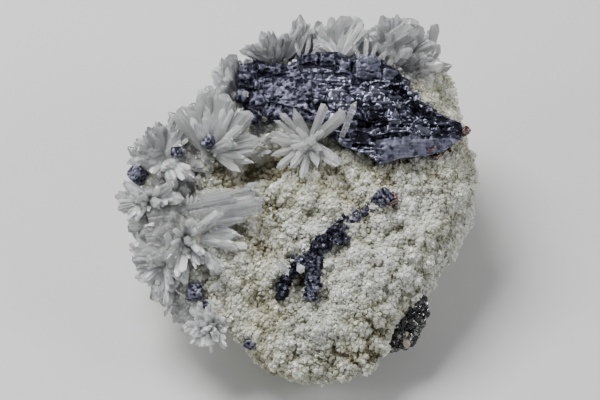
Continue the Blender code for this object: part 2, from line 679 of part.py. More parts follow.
# Steps on the face: polygon, height of its top above the main face
GALENA_STEPS = [
    ([(-11, 37.5), (0.5, 39.5), (14, 39), (25, 36.5), (32, 31), (36.5, 24.5), (33, 20.5),
      (22, 19), (12, 22), (2, 27), (-10, 29.5)], 1.4),
    ([(4, 36), (22, 35.5), (29.5, 29), (31, 24), (22, 22.5), (12, 26), (4, 30)], 2.6),
    ([(17.8, 35), (18.2, 43.7), (24, 43.5), (26.8, 40.7), (26, 35)], 2.2),
    ([(-0.3, 38), (-0.1, 44.2), (11.5, 44.2), (11.6, 38)], 1.7),
    ([(-17.6, 33), (-17.9, 38.6), (-12, 38.7), (-12, 33)], 1.2),
    ([(27, 34), (27.2, 38.9), (30.4, 38.8), (33.2, 36), (33, 34)], 1.0),
    ([(33.5, 27), (33.6, 31.6), (37, 29.8), (38.6, 27.8), (38.5, 26.4)], 0.9),
    ([(-15, 24.8), (-15.2, 28.6), (-10.4, 29.4), (-9.6, 25)], 1.0),
]
STEP_BEVEL, STEP_ROOT = 0.5, 4.0
# The front face's place: depth at its middle, and its fall to both ends and upwards
FACE_DEPTH, FACE_MIDDLE, FALL_ASIDE, FALL_UP = 1.0, (12, 30), 0.10, 0.35


def galena_face(u, v):
    """How far out the galena's front face lies: it falls away up, and to both ends."""
    return FACE_DEPTH - FALL_ASIDE * abs(u - FACE_MIDDLE[0]) - FALL_UP * (v - FACE_MIDDLE[1])


def loft(rings):
    """A closed solid through rings of equal length, the first at the back."""
    count = len(rings[0])
    vertices = [point for ring in rings for point in ring]
    faces = [tuple(range(count)), tuple(range(len(vertices) - 1, len(vertices) - 1 - count, -1))]
    for ring in range(len(rings) - 1):
        low, high = ring * count, (ring + 1) * count
        for i in range(count):
            after = (i + 1) % count
            faces.append((low + after, low + i, high + i, high + after))
    return add_object("loft", vertices, faces)


def shrunk(points, amount):
    """A polygon's points, each drawn towards the polygon's middle by an amount."""
    middle = Vector((sum(p[0] for p in points), sum(p[1] for p in points))) / len(points)
    result = []
    for p in points:
        offset = Vector(p) - middle
        result.append(tuple(middle + offset * (1 - amount / offset.length)))
    return result


def galena_back(u, v, ground):
    """How far out the plate's back lies: in the lump, but thin at the overhanging tip."""
    start, end = GALENA_TIP
    share = min(1.0, max(0.0, (u - start) / (end - start)))
    thickest = GALENA_THICK + (GALENA_TIP_THICK - GALENA_THICK) * share
    return max(ground.depth(u, v) - GALENA_BURIED, galena_face(u, v) - thickest)


def galena_parts(ground):
    """The big etched crystal: a bevelled plate, and the stepped growth layers on it."""
    back = [at(u, v, galena_back(u, v, ground)) for (u, v), _ in GALENA_EDGE]
    side = [at(u, v, galena_face(u, v) - GALENA_BEVEL) for (u, v), _ in GALENA_EDGE]
    front = [at(u, v, galena_face(u, v)) for _, (u, v) in GALENA_EDGE]
    parts = [loft([back, side, front])]
    for polygon, height in GALENA_STEPS:
        bottom = [at(u, v, galena_face(u, v) - STEP_ROOT) for u, v in polygon]
        edge = [at(u, v, galena_face(u, v) + height - STEP_BEVEL) for u, v in polygon]
        top = [at(u, v, galena_face(u, v) + height) for u, v in shrunk(polygon, STEP_BEVEL)]
        parts.append(loft([bottom, edge, top]))
    return parts


# Galena vein: blocks from (u, v) to (u, v), and their width
VEIN_BLOCKS = [
    ((12.8, -8.6), (8.0, -12.2), 3.0), ((14.8, -11.0), (9.0, -13.2), 3.0),
    ((9.0, -11.4), (4.6, -15.6), 3.6), ((5.2, -14.6), (4.2, -22.6), 3.8),
    ((4.2, -21.8), (3.8, -30.0), 3.5), ((5.0, -15.4), (-1.4, -20.4), 2.8),
    ((-0.6, -19.8), (-4.4, -24.0), 3.2), ((-3.8, -22.6), (-5.4, -29.8), 2.9),
]
VEIN_LIFT = 0.9           # how far the blocks' middles stand over the druse
BLOCK_TURN, TURN_STEP = 0.35, 2.1
# Galena beads and small bits: middle (u, v), size
GALENA_BEADS = [
    ((16.4, -6.0), 2.0), ((19.6, -4.0), 1.9),
    ((-27.0, 17.4), 3.4), ((-48.4, 7.6), 4.8), ((-36.3, 14.4), 3.0),
    ((-31.0, -27.6), 4.4), ((-27.4, -31.2), 2.2), ((-14.4, -42.6), 3.0), ((25.2, 0.6), 4.4),
]
BEAD_LIFT = 0.28          # how far a bead's middle stands over the surface, in sizes
BEAD_CLIP = 0.28          # how much of its edges a bead's clipped corners take
SMALLEST_CLIPPED = 2.95   # smaller ones are plain cubes
SPHALERITE_GRAINS = [((27.9, 0.3), 2.9), ((50.4, 20.8), 2.2), ((41.4, 13.6), 2.6)]
# Sphalerite mass under the lower right edge: offsets from its middle, and lump sizes
SPHALERITE_MIDDLE = (33.0, -34.4)
SPHALERITE_NEXT_TO = (29.0, -30.4)    # the druse that it shows below, and how far below
SPHALERITE_BELOW, SPHALERITE_SLOPE = 9.0, 0.35
SPHALERITE_LUMPS = [
    (1.8, 6.0, 5.4), (-1.4, 3.8, 6.6), (2.2, 2.0, 5.6), (-3.2, -0.2, 6.8), (1.2, -2.2, 6.0),
    (-4.2, -4.4, 6.6), (-0.6, -6.2, 5.4), (-5.8, -8.0, 5.6),
]


def cube_crystal(centre, size, dice, clipped=0.0):
    """A turned cube of galena, with its corners clipped where it is a bead."""
    shape = bmesh.new()
    bmesh.ops.create_cube(shape, size=size * MM)
    if clipped:
        bmesh.ops.bevel(
            shape, geom=list(shape.verts), offset=clipped * size * MM,
            segments=1, affect="VERTICES", profile=0.5,
        )
    turn = Vector((dice.uniform(0, 1), dice.uniform(0, 1), dice.uniform(0, 1)))
    shape.transform(turn_matrix(turn))
    for vertex in shape.verts:
        vertex.co += centre
    bmesh.ops.triangulate(shape, faces=shape.faces)
    mesh = bpy.data.meshes.new("cube")
    shape.to_mesh(mesh)
    shape.free()
    body = bpy.data.objects.new("cube", mesh)
    bpy.context.collection.objects.link(body)
    return body


def turn_matrix(turn):
    """A rotation from three shares of a right angle."""
    return Euler([0.5 * math.pi * share for share in turn]).to_matrix().to_4x4()


def vein_parts(ground):
    """The inverted Y of galena blocks that runs down the middle of the face."""
    blocks = []
    for number, (start, end, width) in enumerate(VEIN_BLOCKS):
        a = at(*start, ground.depth(*start) + VEIN_LIFT)
        b = at(*end, ground.depth(*end) + VEIN_LIFT)
        along = (b - a).normalized()
        across = across_axis(along)
        out = along.cross(across)
        turn = BLOCK_TURN * math.sin(TURN_STEP * number)
        half = 0.5 * width * MM
        ring = [
            (across * math.cos(angle) + out * math.sin(angle)) * half * math.sqrt(2)
            for angle in (turn + (corner + 0.5) * math.pi / 2 for corner in range(4))
        ]
        blocks.append(loft([[a + offset for offset in ring], [b + offset for offset in ring]]))
    return blocks


def bead_parts(place, size, ground, dice):
    """One small crystal, sunk into the surface by part of its size."""
    u, v = place
    depth = ground.depth(u, v) + BEAD_LIFT * size
    clipped = BEAD_CLIP if size > SMALLEST_CLIPPED else 0.0
    return [cube_crystal(at(u, v, depth), size, dice, clipped)]


def sphalerite_mass_parts(ground):
    """Dark blocky sphalerite that shows below the druse at the lower right."""
    dice = random.Random(23)
    u, v = SPHALERITE_MIDDLE
    depth = ground.depth(*SPHALERITE_NEXT_TO, layer=0) - SPHALERITE_BELOW
    return [
        cube_crystal(at(u + du, v + dv, depth + SPHALERITE_SLOPE * du), size, dice)
        for du, dv, size in SPHALERITE_LUMPS
    ]


# The specimen

class Specimen:
    """The pieces so far, and the swollen copies that later ones are cut back by."""

    def __init__(self, finish):
        self.finish = finish
        self.cutters = []

    def place(self, name, parts, material):
        """Join the parts of a piece, cut it clear of its neighbours, and finish it."""
        cutter = join([swollen(part) for part in parts])
        body = join(parts)
        before = len(body.data.polygons)
        for neighbour in self.cutters:
            if body.data.vertices and boxes_meet(body, neighbour):
                cut(body, neighbour)
        if not body.data.vertices:
            raise ValueError(f"{name} is swallowed by its neighbours: {before} faces before")
        tidy(body)
        body.name = name
        body.data.materials.clear()
        body.data.materials.append(self.finish[material])
        self.cutters.append(cutter)
        return body


def main():
    """Build every piece, each cut back from the ones before it."""
    for old in list(bpy.data.objects):
        bpy.data.objects.remove(old)
    specimen = Specimen(make_materials())

    lump = make_lump(specimen.finish["druse"])
    ground = Ground(lump)
    crystal = specimen.place("galena_crystal", galena_parts(ground), "galena")
    specimen.cutters.append(swollen(lump))
    cut(lump, specimen.cutters[0])
    tidy(lump)
    ground.add(crystal)
    specimen.place("galena_vein", vein_parts(ground), "galena")

    for name, (foot, tip, foot_rise, tip_rise, width) in LONE_PRISMS.items():
        foot_depth = ground.depth(*foot) + foot_rise
        tip_depth = ground.depth(*tip) + tip_rise
        tip_depth = cleared_tip(foot, foot_depth, tip, tip_depth, width, ground)
        ends = at(*foot, foot_depth), at(*tip, tip_depth)
        specimen.place(name, [quartz_crystal(*ends, width, LONE_FLAT, LONE_LEAN)], "quartz")

    for name, (root, knobs, spikes) in QUARTZ_SPRAYS.items():
        level = root_level(root, ground)
        held = [
            (at(root[0] + du, root[1] + dv, level - KNOB_SINK * size[2]), size)
            for (du, dv), size in knobs
        ]
        parts = quartz_parts(spray_crystals(root, spikes, ground), held)
        ground.add(specimen.place(name, parts, "quartz"))
    centre = at(*ROSETTE_ROOT, ground.depth(*ROSETTE_ROOT, layer=0) - ROSETTE_KNOB_SINK)
    rosette = quartz_parts(rosette_crystals(ground), [(centre, ROSETTE_KNOB)])
    specimen.place("quartz_rosette", rosette, "quartz")

    dice = random.Random(31)
    for number, (spot, size) in enumerate(GALENA_BEADS, 1):
        specimen.place(f"galena_bead_{number}", bead_parts(spot, size, ground, dice), "galena")
    specimen.place("sphalerite_mass", sphalerite_mass_parts(ground), "sphalerite")
    for number, (spot, size) in enumerate(SPHALERITE_GRAINS, 1):
        name = f"sphalerite_grain_{number}"
        specimen.place(name, bead_parts(spot, size, ground, dice), "sphalerite")

    for cutter in specimen.cutters:
        discard(cutter)


main()
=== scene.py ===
import json
import math
import random
from itertools import product

import bmesh
import bpy
import numpy as np
from mathutils import Matrix, Vector, noise
from mathutils.bvhtree import BVHTree

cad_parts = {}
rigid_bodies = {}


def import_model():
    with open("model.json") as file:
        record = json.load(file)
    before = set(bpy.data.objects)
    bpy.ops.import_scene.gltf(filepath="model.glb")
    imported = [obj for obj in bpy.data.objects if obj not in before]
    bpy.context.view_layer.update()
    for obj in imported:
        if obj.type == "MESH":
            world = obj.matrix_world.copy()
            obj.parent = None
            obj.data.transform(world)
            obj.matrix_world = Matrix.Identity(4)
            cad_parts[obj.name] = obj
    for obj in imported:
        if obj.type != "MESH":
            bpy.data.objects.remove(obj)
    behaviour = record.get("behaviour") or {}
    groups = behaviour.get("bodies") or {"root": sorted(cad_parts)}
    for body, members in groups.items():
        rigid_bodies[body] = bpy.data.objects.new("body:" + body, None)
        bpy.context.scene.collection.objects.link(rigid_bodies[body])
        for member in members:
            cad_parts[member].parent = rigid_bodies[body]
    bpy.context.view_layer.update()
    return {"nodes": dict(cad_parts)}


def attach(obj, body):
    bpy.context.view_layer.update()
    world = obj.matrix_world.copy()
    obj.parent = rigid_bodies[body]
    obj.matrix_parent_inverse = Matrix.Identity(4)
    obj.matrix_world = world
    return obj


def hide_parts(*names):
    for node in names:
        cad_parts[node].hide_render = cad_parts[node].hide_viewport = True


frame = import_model()

# Galena with sphalerite and quartz on a druse-covered matrix. Lengths are in millimetres
# here, and in metres in the meshes. The crystal face is laid out right (u), up (v) and
# out (w) from its middle.
MM = 0.001
VIEW_ELEVATION = math.radians(55)
RIGHT = Vector((1, 0, 0))
UP = Vector((0, math.sin(VIEW_ELEVATION), math.cos(VIEW_ELEVATION)))
TOWARDS = Vector((0, -math.cos(VIEW_ELEVATION), math.sin(VIEW_ELEVATION)))
FACE_CENTRE = Vector((0.8, -3.4, 40.0)) * MM
FACE_AXES = np.array([RIGHT, UP, TOWARDS])

nodes = frame["nodes"]


def at(u, v, w=0.0):
    """The point u right, v up and w out of the middle of the face."""
    return FACE_CENTRE + (RIGHT * u + UP * v + TOWARDS * w) * MM


def face_places(points):
    """The (u, v, w) of many points, as an array."""
    return (points - np.array(FACE_CENTRE)) @ FACE_AXES.T / MM


# Finishes

def fill_inputs(tree, node, inputs):
    """Gives each named or numbered input of a node a link or a plain value."""
    for socket, given in inputs.items():
        if isinstance(given, bpy.types.NodeSocket):
            tree.links.new(given, node.inputs[socket])
        else:
            node.inputs[socket].default_value = given


def add_node(tree, kind, inputs=None, **settings):
    """A new node in a tree, with its settings and its inputs."""
    node = tree.nodes.new(kind)
    for key, value in settings.items():
        setattr(node, key, value)
    fill_inputs(tree, node, inputs or {})
    return node


class Finish:
    """A material, and short calls for the nodes that it is made of."""

    def __init__(self, name, roughness, metallic=0.0, transmission=0.0, ior=1.5):
        self.material = bpy.data.materials.new(name)
        self.material.use_nodes = True
        self.tree = self.material.node_tree
        self.shader = self.tree.nodes["Principled BSDF"]
        self.surface({
            "Roughness": roughness, "Metallic": metallic,
            "Transmission Weight": transmission, "IOR": ior,
        })
        self.place = self.node("ShaderNodeTexCoord")["Object"]

    def node(self, kind, inputs=None, **settings):
        """The outputs of a new node."""
        return add_node(self.tree, kind, inputs, **settings).outputs

    def surface(self, inputs):
        """Sets or links inputs of the shader itself."""
        fill_inputs(self.tree, self.shader, inputs)

    def stretched(self, scale, turn=(0, 0, 0)):
        """Object coordinates turned and scaled, per axis."""
        inputs = {"Vector": self.place, "Scale": scale, "Rotation": turn}
        return self.node("ShaderNodeMapping", inputs, vector_type="POINT")["Vector"]

    def cloud(self, size, detail=3.0, place=None):
        """Noise whose patches are about one size, in millimetres."""
        inputs = {"Vector": place or self.place, "Scale": 1 / (size * MM), "Detail": detail}
        return self.node("ShaderNodeTexNoise", inputs)["Fac"]

    def cells(self, size):
        """Distance to the nearest of many scattered points, about one size apart."""
        inputs = {"Vector": self.place, "Scale": 1 / (size * MM)}
        return self.node("ShaderNodeTexVoronoi", inputs)["Distance"]

    def attribute(self, name):
        return self.node("ShaderNodeAttribute", attribute_name=name)["Fac"]

    def sum(self, first, second, share=1.0, base=0.0):
        """first + share * second + base."""
        inputs = {0: second, 1: share, 2: base}
        scaled = self.node("ShaderNodeMath", inputs, operation="MULTIPLY_ADD")[0]
        return self.node("ShaderNodeMath", {0: first, 1: scaled}, operation="ADD")[0]

    def ramp(self, value, stops):
        """Colours or levels along a value."""
        made = add_node(self.tree, "ShaderNodeValToRGB", {"Fac": value})
        band = made.color_ramp
        while len(band.elements) < len(stops):
            band.elements.new(0.5)
        for element, (place, colour) in zip(band.elements, stops):
            element.position = place
            element.color = (*colour, 1.0)
        return made.outputs["Color"]

    def mix(self, share, first, second):
        """The first colour where the share is 0, the second where it is 1."""
        return self.node("ShaderNodeMix", {0: share, 6: first, 7: second}, data_type="RGBA")[2]

    def colour(self, value, stops):
        self.surface({"Base Color": self.ramp(value, stops)})

    def roughness(self, value, low, high):
        """Roughness that runs from low to high with a value."""
        inputs = {"Value": value, "To Min": low, "To Max": high}
        self.surface({"Roughness": self.node("ShaderNodeMapRange", inputs)["Result"]})

    def bump(self, height, strength, depth):
        """Relief that is too fine for the mesh, its depth in millimetres."""
        inputs = {"Height": height, "Strength": strength, "Distance": depth * MM}
        self.surface({"Normal": self.node("ShaderNodeBump", inputs)["Normal"]})

    def inner_light(self, weight, reach, radius=(1.0, 1.0, 1.0)):
        """Light that goes in and comes out again nearby, its reach in millimetres."""
        self.surface({
            "Subsurface Weight": weight, "Subsurface Radius": radius,
            "Subsurface Scale": reach * MM,
        })


QUARTZ_IOR, SPHALERITE_IOR = 1.54, 2.37
# Druse colours along a level. The low end is painted shade in creases and hollows, and the olive of
# stains; the high end is the whiter crowns of the lumps.
DRUSE_WARM = [(0.0, (0.15, 0.13, 0.075)), (0.14, (0.36, 0.34, 0.235)), (0.4, (0.55, 0.535, 0.42)),
              (0.85, (0.72, 0.715, 0.63))]
DRUSE_GREY = [(0.0, (0.14, 0.125, 0.075)), (0.14, (0.36, 0.355, 0.28)), (0.4, (0.54, 0.54, 0.475)),
              (0.85, (0.74, 0.745, 0.70))]


def druse_colour(finish, level):
    """Warm and grey stretches of frosted cream, with a few olive stains."""
    level = finish.sum(level, finish.cloud(14.0, detail=2.0), 1.1, -0.5)
    stains = finish.ramp(finish.cloud(5.0, detail=3.0), [(0.63, (0, 0, 0)), (0.72, (1, 1, 1))])
    level = finish.sum(level, stains, -0.45)
    stretches = finish.cloud(24.0, detail=1.0, place=finish.stretched((1, 1, 1), (0.4, 0.2, 0)))
    grey = finish.ramp(stretches, [(0.4, (0, 0, 0)), (0.6, (1, 1, 1))])
    return finish.mix(grey, finish.ramp(level, DRUSE_WARM), finish.ramp(level, DRUSE_GREY))


def druse_finish():
    """Frosted cream crystallites, darker with painted shade in the crevices and hollows and whiter
    on the lumps.
    """
    finish = Finish("druse", roughness=0.24, ior=QUARTZ_IOR)
    # The level carries painted shade: low in creases, in hollows and towards the lower rim, high on
    # the lumps' crowns
    level = finish.sum(finish.attribute("relief"), finish.attribute("tone"), 0.30, -0.13)
    finish.surface({"Base Color": druse_colour(finish, level)})
    finish.bump(finish.cloud(0.35), 0.35, 0.08)
    finish.inner_light(0.25, 0.9, (1.0, 0.95, 0.8))
    return finish.material


def rock_finish():
    """Pale where crystallites coat the rock, with painted shade in its creases and hollows, and
    brown-grey on its broken back.
    """
    finish = Finish("matrix_rock", roughness=0.7)
    grain = finish.cloud(1.3, detail=6.0)
    level = finish.sum(finish.attribute("relief"), grain, 0.8, -0.4)
    broken = finish.ramp(finish.sum(level, finish.cloud(11.0, detail=2.0), 0.5, -0.25), [
        (0.1, (0.07, 0.06, 0.035)), (0.4, (0.22, 0.20, 0.135)), (0.8, (0.42, 0.40, 0.31)),
    ])
    # Where coated, painted shade darkens the creases and hollows between the crystallites
    coated = druse_colour(finish, finish.sum(finish.attribute("relief"), grain, 0.3, -0.2))
    finish.surface({"Base Color": finish.mix(finish.attribute("bare"), coated, broken)})
    finish.bump(grain, 0.6, 0.25)
    return finish.material


def galena_finish(name="galena", bright=1.0):
    """Lead-grey metal with a blue cast: dull and dark in its pits, the dark partly oxide and partly
    painted shade, and bright on its bars.
    """
    finish = Finish(name, roughness=0.4, metallic=1.0)
    # The level is low in pits, gaps and joints: partly dull oxide, partly painted shade. The stops
    # run from that dark to the lighter bars
    level = finish.sum(finish.attribute("relief"), finish.cloud(2.5, detail=4.0), 0.8, -0.4)
    level = finish.sum(level, finish.attribute("dull"), -0.42)
    stops = [(0.0, (0.03, 0.03, 0.045)), (0.3, (0.21, 0.212, 0.285)), (0.9, (0.50, 0.505, 0.63))]
    finish.colour(level, [(place, tuple(bright * c for c in shade)) for place, shade in stops])
    dull = finish.sum(finish.attribute("dull"), finish.cloud(1.6, detail=5.0), 0.5, -0.25)
    finish.roughness(dull, 0.3, 0.6)
    finish.bump(finish.cloud(0.5, detail=3.0, place=finish.stretched((0.3, 1, 1))), 0.3, 0.06)
    return finish.material


def sphalerite_finish(name, stops, transmission=0.0):
    """Resinous zinc blende: near black in the mass, red-brown where light gets through."""
    finish = Finish(name, roughness=0.12, transmission=transmission, ior=SPHALERITE_IOR)
    finish.colour(finish.cloud(1.4, detail=2.0), stops)
    finish.bump(finish.cells(0.5), 0.3, 0.06)
    return finish.material


def quartz_finish(name, transmission, roughness, shades, inner_light=None):
    """Striated quartz, cloudier at the root: its shades run from the tip to the root."""
    finish = Finish(name, roughness=roughness[0], transmission=transmission, ior=QUARTZ_IOR)
    veils = finish.cloud(2.2, detail=4.0)
    level = finish.sum(finish.attribute("tone"), veils, 0.8, -0.4)
    finish.colour(level, list(zip((0.05, 0.45, 0.85), shades)))
    finish.roughness(veils, *roughness)
    finish.bump(finish.cloud(0.5, detail=4.0), 0.15, 0.05)
    if inner_light:
        finish.inner_light(*inner_light)
    return finish.material


def chip_finish():
    """The pinkish beige chip beside the dark mass."""
    finish = Finish("pale_chip", roughness=0.45)
    finish.colour(finish.cloud(1.5), [(0.3, (0.36, 0.31, 0.25)), (0.7, (0.58, 0.50, 0.42))])
    finish.bump(finish.cloud(0.5), 0.3, 0.08)
    return finish.material


def floor_finish():
    finish = Finish("floor", roughness=0.6)
    finish.surface({"Base Color": (0.72, 0.72, 0.71, 1.0)})
    return finish.material


# Meshes

def linked(name, data):
    """An object in the scene that holds a mesh, a light or the camera."""
    made = bpy.data.objects.new(name, data)
    bpy.context.collection.objects.link(made)
    return made


def coat(mesh, material):
    mesh.materials.clear()
    mesh.materials.append(material)


def new_object(name, vertices, faces, material):
    """One mesh object from points in metres."""
    mesh = bpy.data.meshes.new(name)
    mesh.from_pydata([tuple(v) for v in vertices], [], faces)
    coat(mesh, material)
    return linked(name, mesh)


def face_outwards(mesh):
    shape = bmesh.new()
    shape.from_mesh(mesh)
    bmesh.ops.recalc_face_normals(shape, faces=shape.faces)
    shape.to_mesh(mesh)
    shape.free()


def welded_copy(node, name):
    """A node's mesh in one closed skin, as an object of its own."""
    shape = bmesh.new()
    shape.from_mesh(nodes[node].data)
    bmesh.ops.remove_doubles(shape, verts=shape.verts, dist=0.002 * MM)
    mesh = bpy.data.meshes.new(name)
    shape.to_mesh(mesh)
    shape.free()
    return linked(name, mesh)


def evaluated_mesh(made):
    """The plain mesh that an object's modifiers give."""
    depsgraph = bpy.context.evaluated_depsgraph_get()
    return bpy.data.meshes.new_from_object(made.evaluated_get(depsgraph))


def even_out(made, voxel, rounding=0):
    """Gives an object one skin of small even faces, with its edges rounded off."""
    modifier = made.modifiers.new("even", "REMESH")
    modifier.mode = "VOXEL"
    modifier.voxel_size = voxel * MM
    if rounding:
        soften = made.modifiers.new("soften", "SMOOTH")
        soften.factor = 0.6
        soften.iterations = rounding
    mesh = evaluated_mesh(made)
    made.modifiers.clear()
    old = made.data
    made.data = mesh
    bpy.data.meshes.remove(old)


def remeshed(node, name, voxel, rounding=0):
    """A node's form again in small even faces, as an object of its own."""
    made = welded_copy(node, name)
    even_out(made, voxel, rounding)
    return made


def rows(vectors, key):
    """A mesh's vectors, one to a row."""
    numbers = np.empty(len(vectors) * 3, dtype=np.float32)
    vectors.foreach_get(key, numbers)
    return numbers.reshape(-1, 3).astype(float)


def points_of(mesh):
    return rows(mesh.vertices, "co")


def normals_of(mesh):
    return rows(mesh.vertex_normals, "vector")


def set_points(mesh, points):
    mesh.vertices.foreach_set("co", points.astype(np.float32).ravel())
    mesh.update()


def store(mesh, name, values):
    """One number for each point of a mesh, under a name."""
    layer = mesh.attributes.new(name, "FLOAT", "POINT")
    layer.data.foreach_set("value", np.asarray(values, dtype=np.float32))


def smoothstep(values, low, high):
    """0 below low, 1 above high, and a smooth slope between them."""
    share = np.clip((values - low) / (high - low), 0, 1)
    return share * share * (3 - 2 * share)


def noise_at(places, size):
    """Smooth noise at many places, its patches about one size."""
    return np.array([noise.noise(Vector(place / size)) for place in places])


def bead_places():
    """The middle (u, v, w) and the radius of each small galena crystal."""
    beads = []
    for node in sorted(nodes):
        if node.startswith("galena_bead"):
            places = face_places(points_of(nodes[node].data))
            low, high = places.min(axis=0), places.max(axis=0)
            beads.append(((low + high) / 2, 0.5 * float((high - low)[:2].max())))
    return beads


BEADS = bead_places()


def hides_bead(base, tip, width):
    """Whether a quartz crystal would lie in front of a small galena crystal."""
    foot, end = face_places(np.array([base, tip]))
    way = end - foot
    for middle, radius in BEADS:
        along = (middle - foot)[:2] @ way[:2] / max(way[:2] @ way[:2], 1e-9)
        spot = foot + way * min(1.0, max(0.0, along))
        near = np.hypot(*(spot - middle)[:2]) < 0.8 * radius + 0.5 * width
        if near and spot[2] > middle[2] - radius:
            return True
    return False


def add_piece(made, replaced=()):
    """A finished piece rides on the specimen and takes the place of its plain solids."""
    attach(made, "root")
    if replaced:
        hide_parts(*replaced)


# Scattering of small shapes over a surface

SCATTER_INPUTS = [
    ("Surface", "Geometry"), ("Shapes", "Collection"), ("Where", "String"),
    ("Spacing", "Float"), ("Smallest", "Float"), ("Largest", "Float"), ("Tilt", "Float"),
    ("Seed", "Int"), ("Finish", "Material"),
]
MOST_POINTS = 4e6         # points to a square metre before the spacing thins them


def make_scatter():
    """Geometry nodes: shapes set over a surface at a spacing, each turned and sized by chance."""
    tree = bpy.data.node_groups.new("scatter", "GeometryNodeTree")
    for name, kind in SCATTER_INPUTS:
        tree.interface.new_socket(name, in_out="INPUT", socket_type=f"NodeSocket{kind}")
    tree.interface.new_socket("Pieces", in_out="OUTPUT", socket_type="NodeSocketGeometry")

    def node(kind, inputs=None, **settings):
        return add_node(tree, kind, inputs, **settings).outputs

    given = node("NodeGroupInput")
    seed = given["Seed"]
    where = node("GeometryNodeInputNamedAttribute", {"Name": given["Where"]}, data_type="FLOAT")
    spread = node("GeometryNodeDistributePointsOnFaces", {
        "Mesh": given["Surface"], "Distance Min": given["Spacing"], "Density Max": MOST_POINTS,
        "Density Factor": where["Attribute"], "Seed": seed,
    }, distribute_method="POISSON")
    size = node("FunctionNodeRandomValue", {
        2: given["Smallest"], 3: given["Largest"], "Seed": seed,
    }, data_type="FLOAT")[1]

    back = node("ShaderNodeMath", {0: given["Tilt"], 1: -1}, operation="MULTIPLY")[0]
    least = node("ShaderNodeCombineXYZ", {0: back, 1: back, 2: -math.pi})[0]
    most = node("ShaderNodeCombineXYZ", {0: given["Tilt"], 1: given["Tilt"], 2: math.pi})[0]
    turn = node("FunctionNodeRandomValue", {0: least, 1: most, "Seed": seed},
                data_type="FLOAT_VECTOR")[0]
    angle = node("FunctionNodeEulerToRotation", {0: turn})[0]
    tilted = node("FunctionNodeRotateRotation", {0: spread["Rotation"], 1: angle},
                  rotation_space="LOCAL")[0]

    shapes = node("GeometryNodeCollectionInfo", {
        "Collection": given["Shapes"], "Separate Children": True, "Reset Children": True,
    }, transform_space="ORIGINAL")[0]
    placed = node("GeometryNodeInstanceOnPoints", {
        "Points": spread["Points"], "Instance": shapes, "Pick Instance": True,
        "Rotation": tilted, "Scale": size,
    })["Instances"]
    tone = node("FunctionNodeRandomValue", {"Seed": seed}, data_type="FLOAT")[1]
    toned = node("GeometryNodeStoreNamedAttribute", {
        "Geometry": placed, "Name": "tone", "Value": tone,
    }, data_type="FLOAT", domain="INSTANCE")["Geometry"]
    real = node("GeometryNodeRealizeInstances", {"Geometry": toned})["Geometry"]
    coated = node("GeometryNodeSetMaterial", {"Geometry": real, "Material": given["Finish"]})
    node("NodeGroupOutput", {"Pieces": coated["Geometry"]})
    return tree


scatter_tree = make_scatter()
scatter_sockets = {
    item.name: item.identifier
    for item in scatter_tree.interface.items_tree
    if item.item_type == "SOCKET" and item.in_out == "INPUT"
}


def scattered(name, surface, **inputs):
    """A new piece: shapes scattered over a surface mesh. Spacing is in millimetres."""
    body = bpy.data.objects.new("scatter_ground", surface)
    modifier = body.modifiers.new("scatter", "NODES")
    modifier.node_group = scatter_tree
    for key, value in inputs.items():
        modifier[scatter_sockets[key]] = value * MM if key == "Spacing" else value
    bpy.context.collection.objects.link(body)
    mesh = evaluated_mesh(body)
    mesh.name = name
    bpy.data.objects.remove(body)
    return linked(name, mesh)


def shape_set(name, count, make):
    """A hidden collection of differing copies of one small shape."""
    dice = random.Random(name)
    group = bpy.data.collections.new(name)
    for number in range(count):
        vertices, faces = make(dice)
        mesh = bpy.data.meshes.new(f"{name} {number}")
        mesh.from_pydata(vertices, [], faces)
        face_outwards(mesh)
        group.objects.link(bpy.data.objects.new(f"{name} {number}", mesh))
    return group


def grain(dice):
    """A druse crystallite: a stubby six-sided crystal, its foot buried, 1 mm across."""
    half = 0.5 * MM
    top = dice.uniform(0.5, 0.8) * MM
    vertices = [(0, 0, -half)]
    for side in range(6):
        angle = math.tau * side / 6
        reach = half * dice.uniform(0.8, 1.15)
        level = dice.uniform(0, 0.2) * MM
        vertices.append((reach * math.cos(angle), reach * math.sin(angle), level))
    vertices.append((dice.uniform(-0.1, 0.1) * MM, dice.uniform(-0.1, 0.1) * MM, top))
    faces = []
    for here in range(1, 7):
        after = here % 6 + 1
        faces += [(0, after, here), (here, after, 7)]
    return vertices, faces


CUBE_FACES = [(0, 1, 3, 2), (4, 6, 7, 5), (0, 4, 5, 1), (2, 3, 7, 6), (0, 2, 6, 4), (1, 5, 7, 3)]
CUBE_UNEVEN = 0.12


def cube(dice):
    """A cube of galena, 1 mm across, its edges a little uneven."""
    vertices = []
    for corner in product((-1, 1), repeat=3):
        stretch = 0.5 * MM * (1 + dice.uniform(-CUBE_UNEVEN, CUBE_UNEVEN))
        vertices.append(tuple(side * stretch for side in corner))
    return vertices, CUBE_FACES


# Quartz crystals

# How long a crystal's point is, as a share of its width
BLUNT, BROAD, STEEP, SLENDER = (0.3, 0.75), (0.4, 0.8), (0.55, 1.1), (0.45, 1.3)
WIDEST_GAP = 1.9          # radians between neighbouring tips that lesser crystals still fill


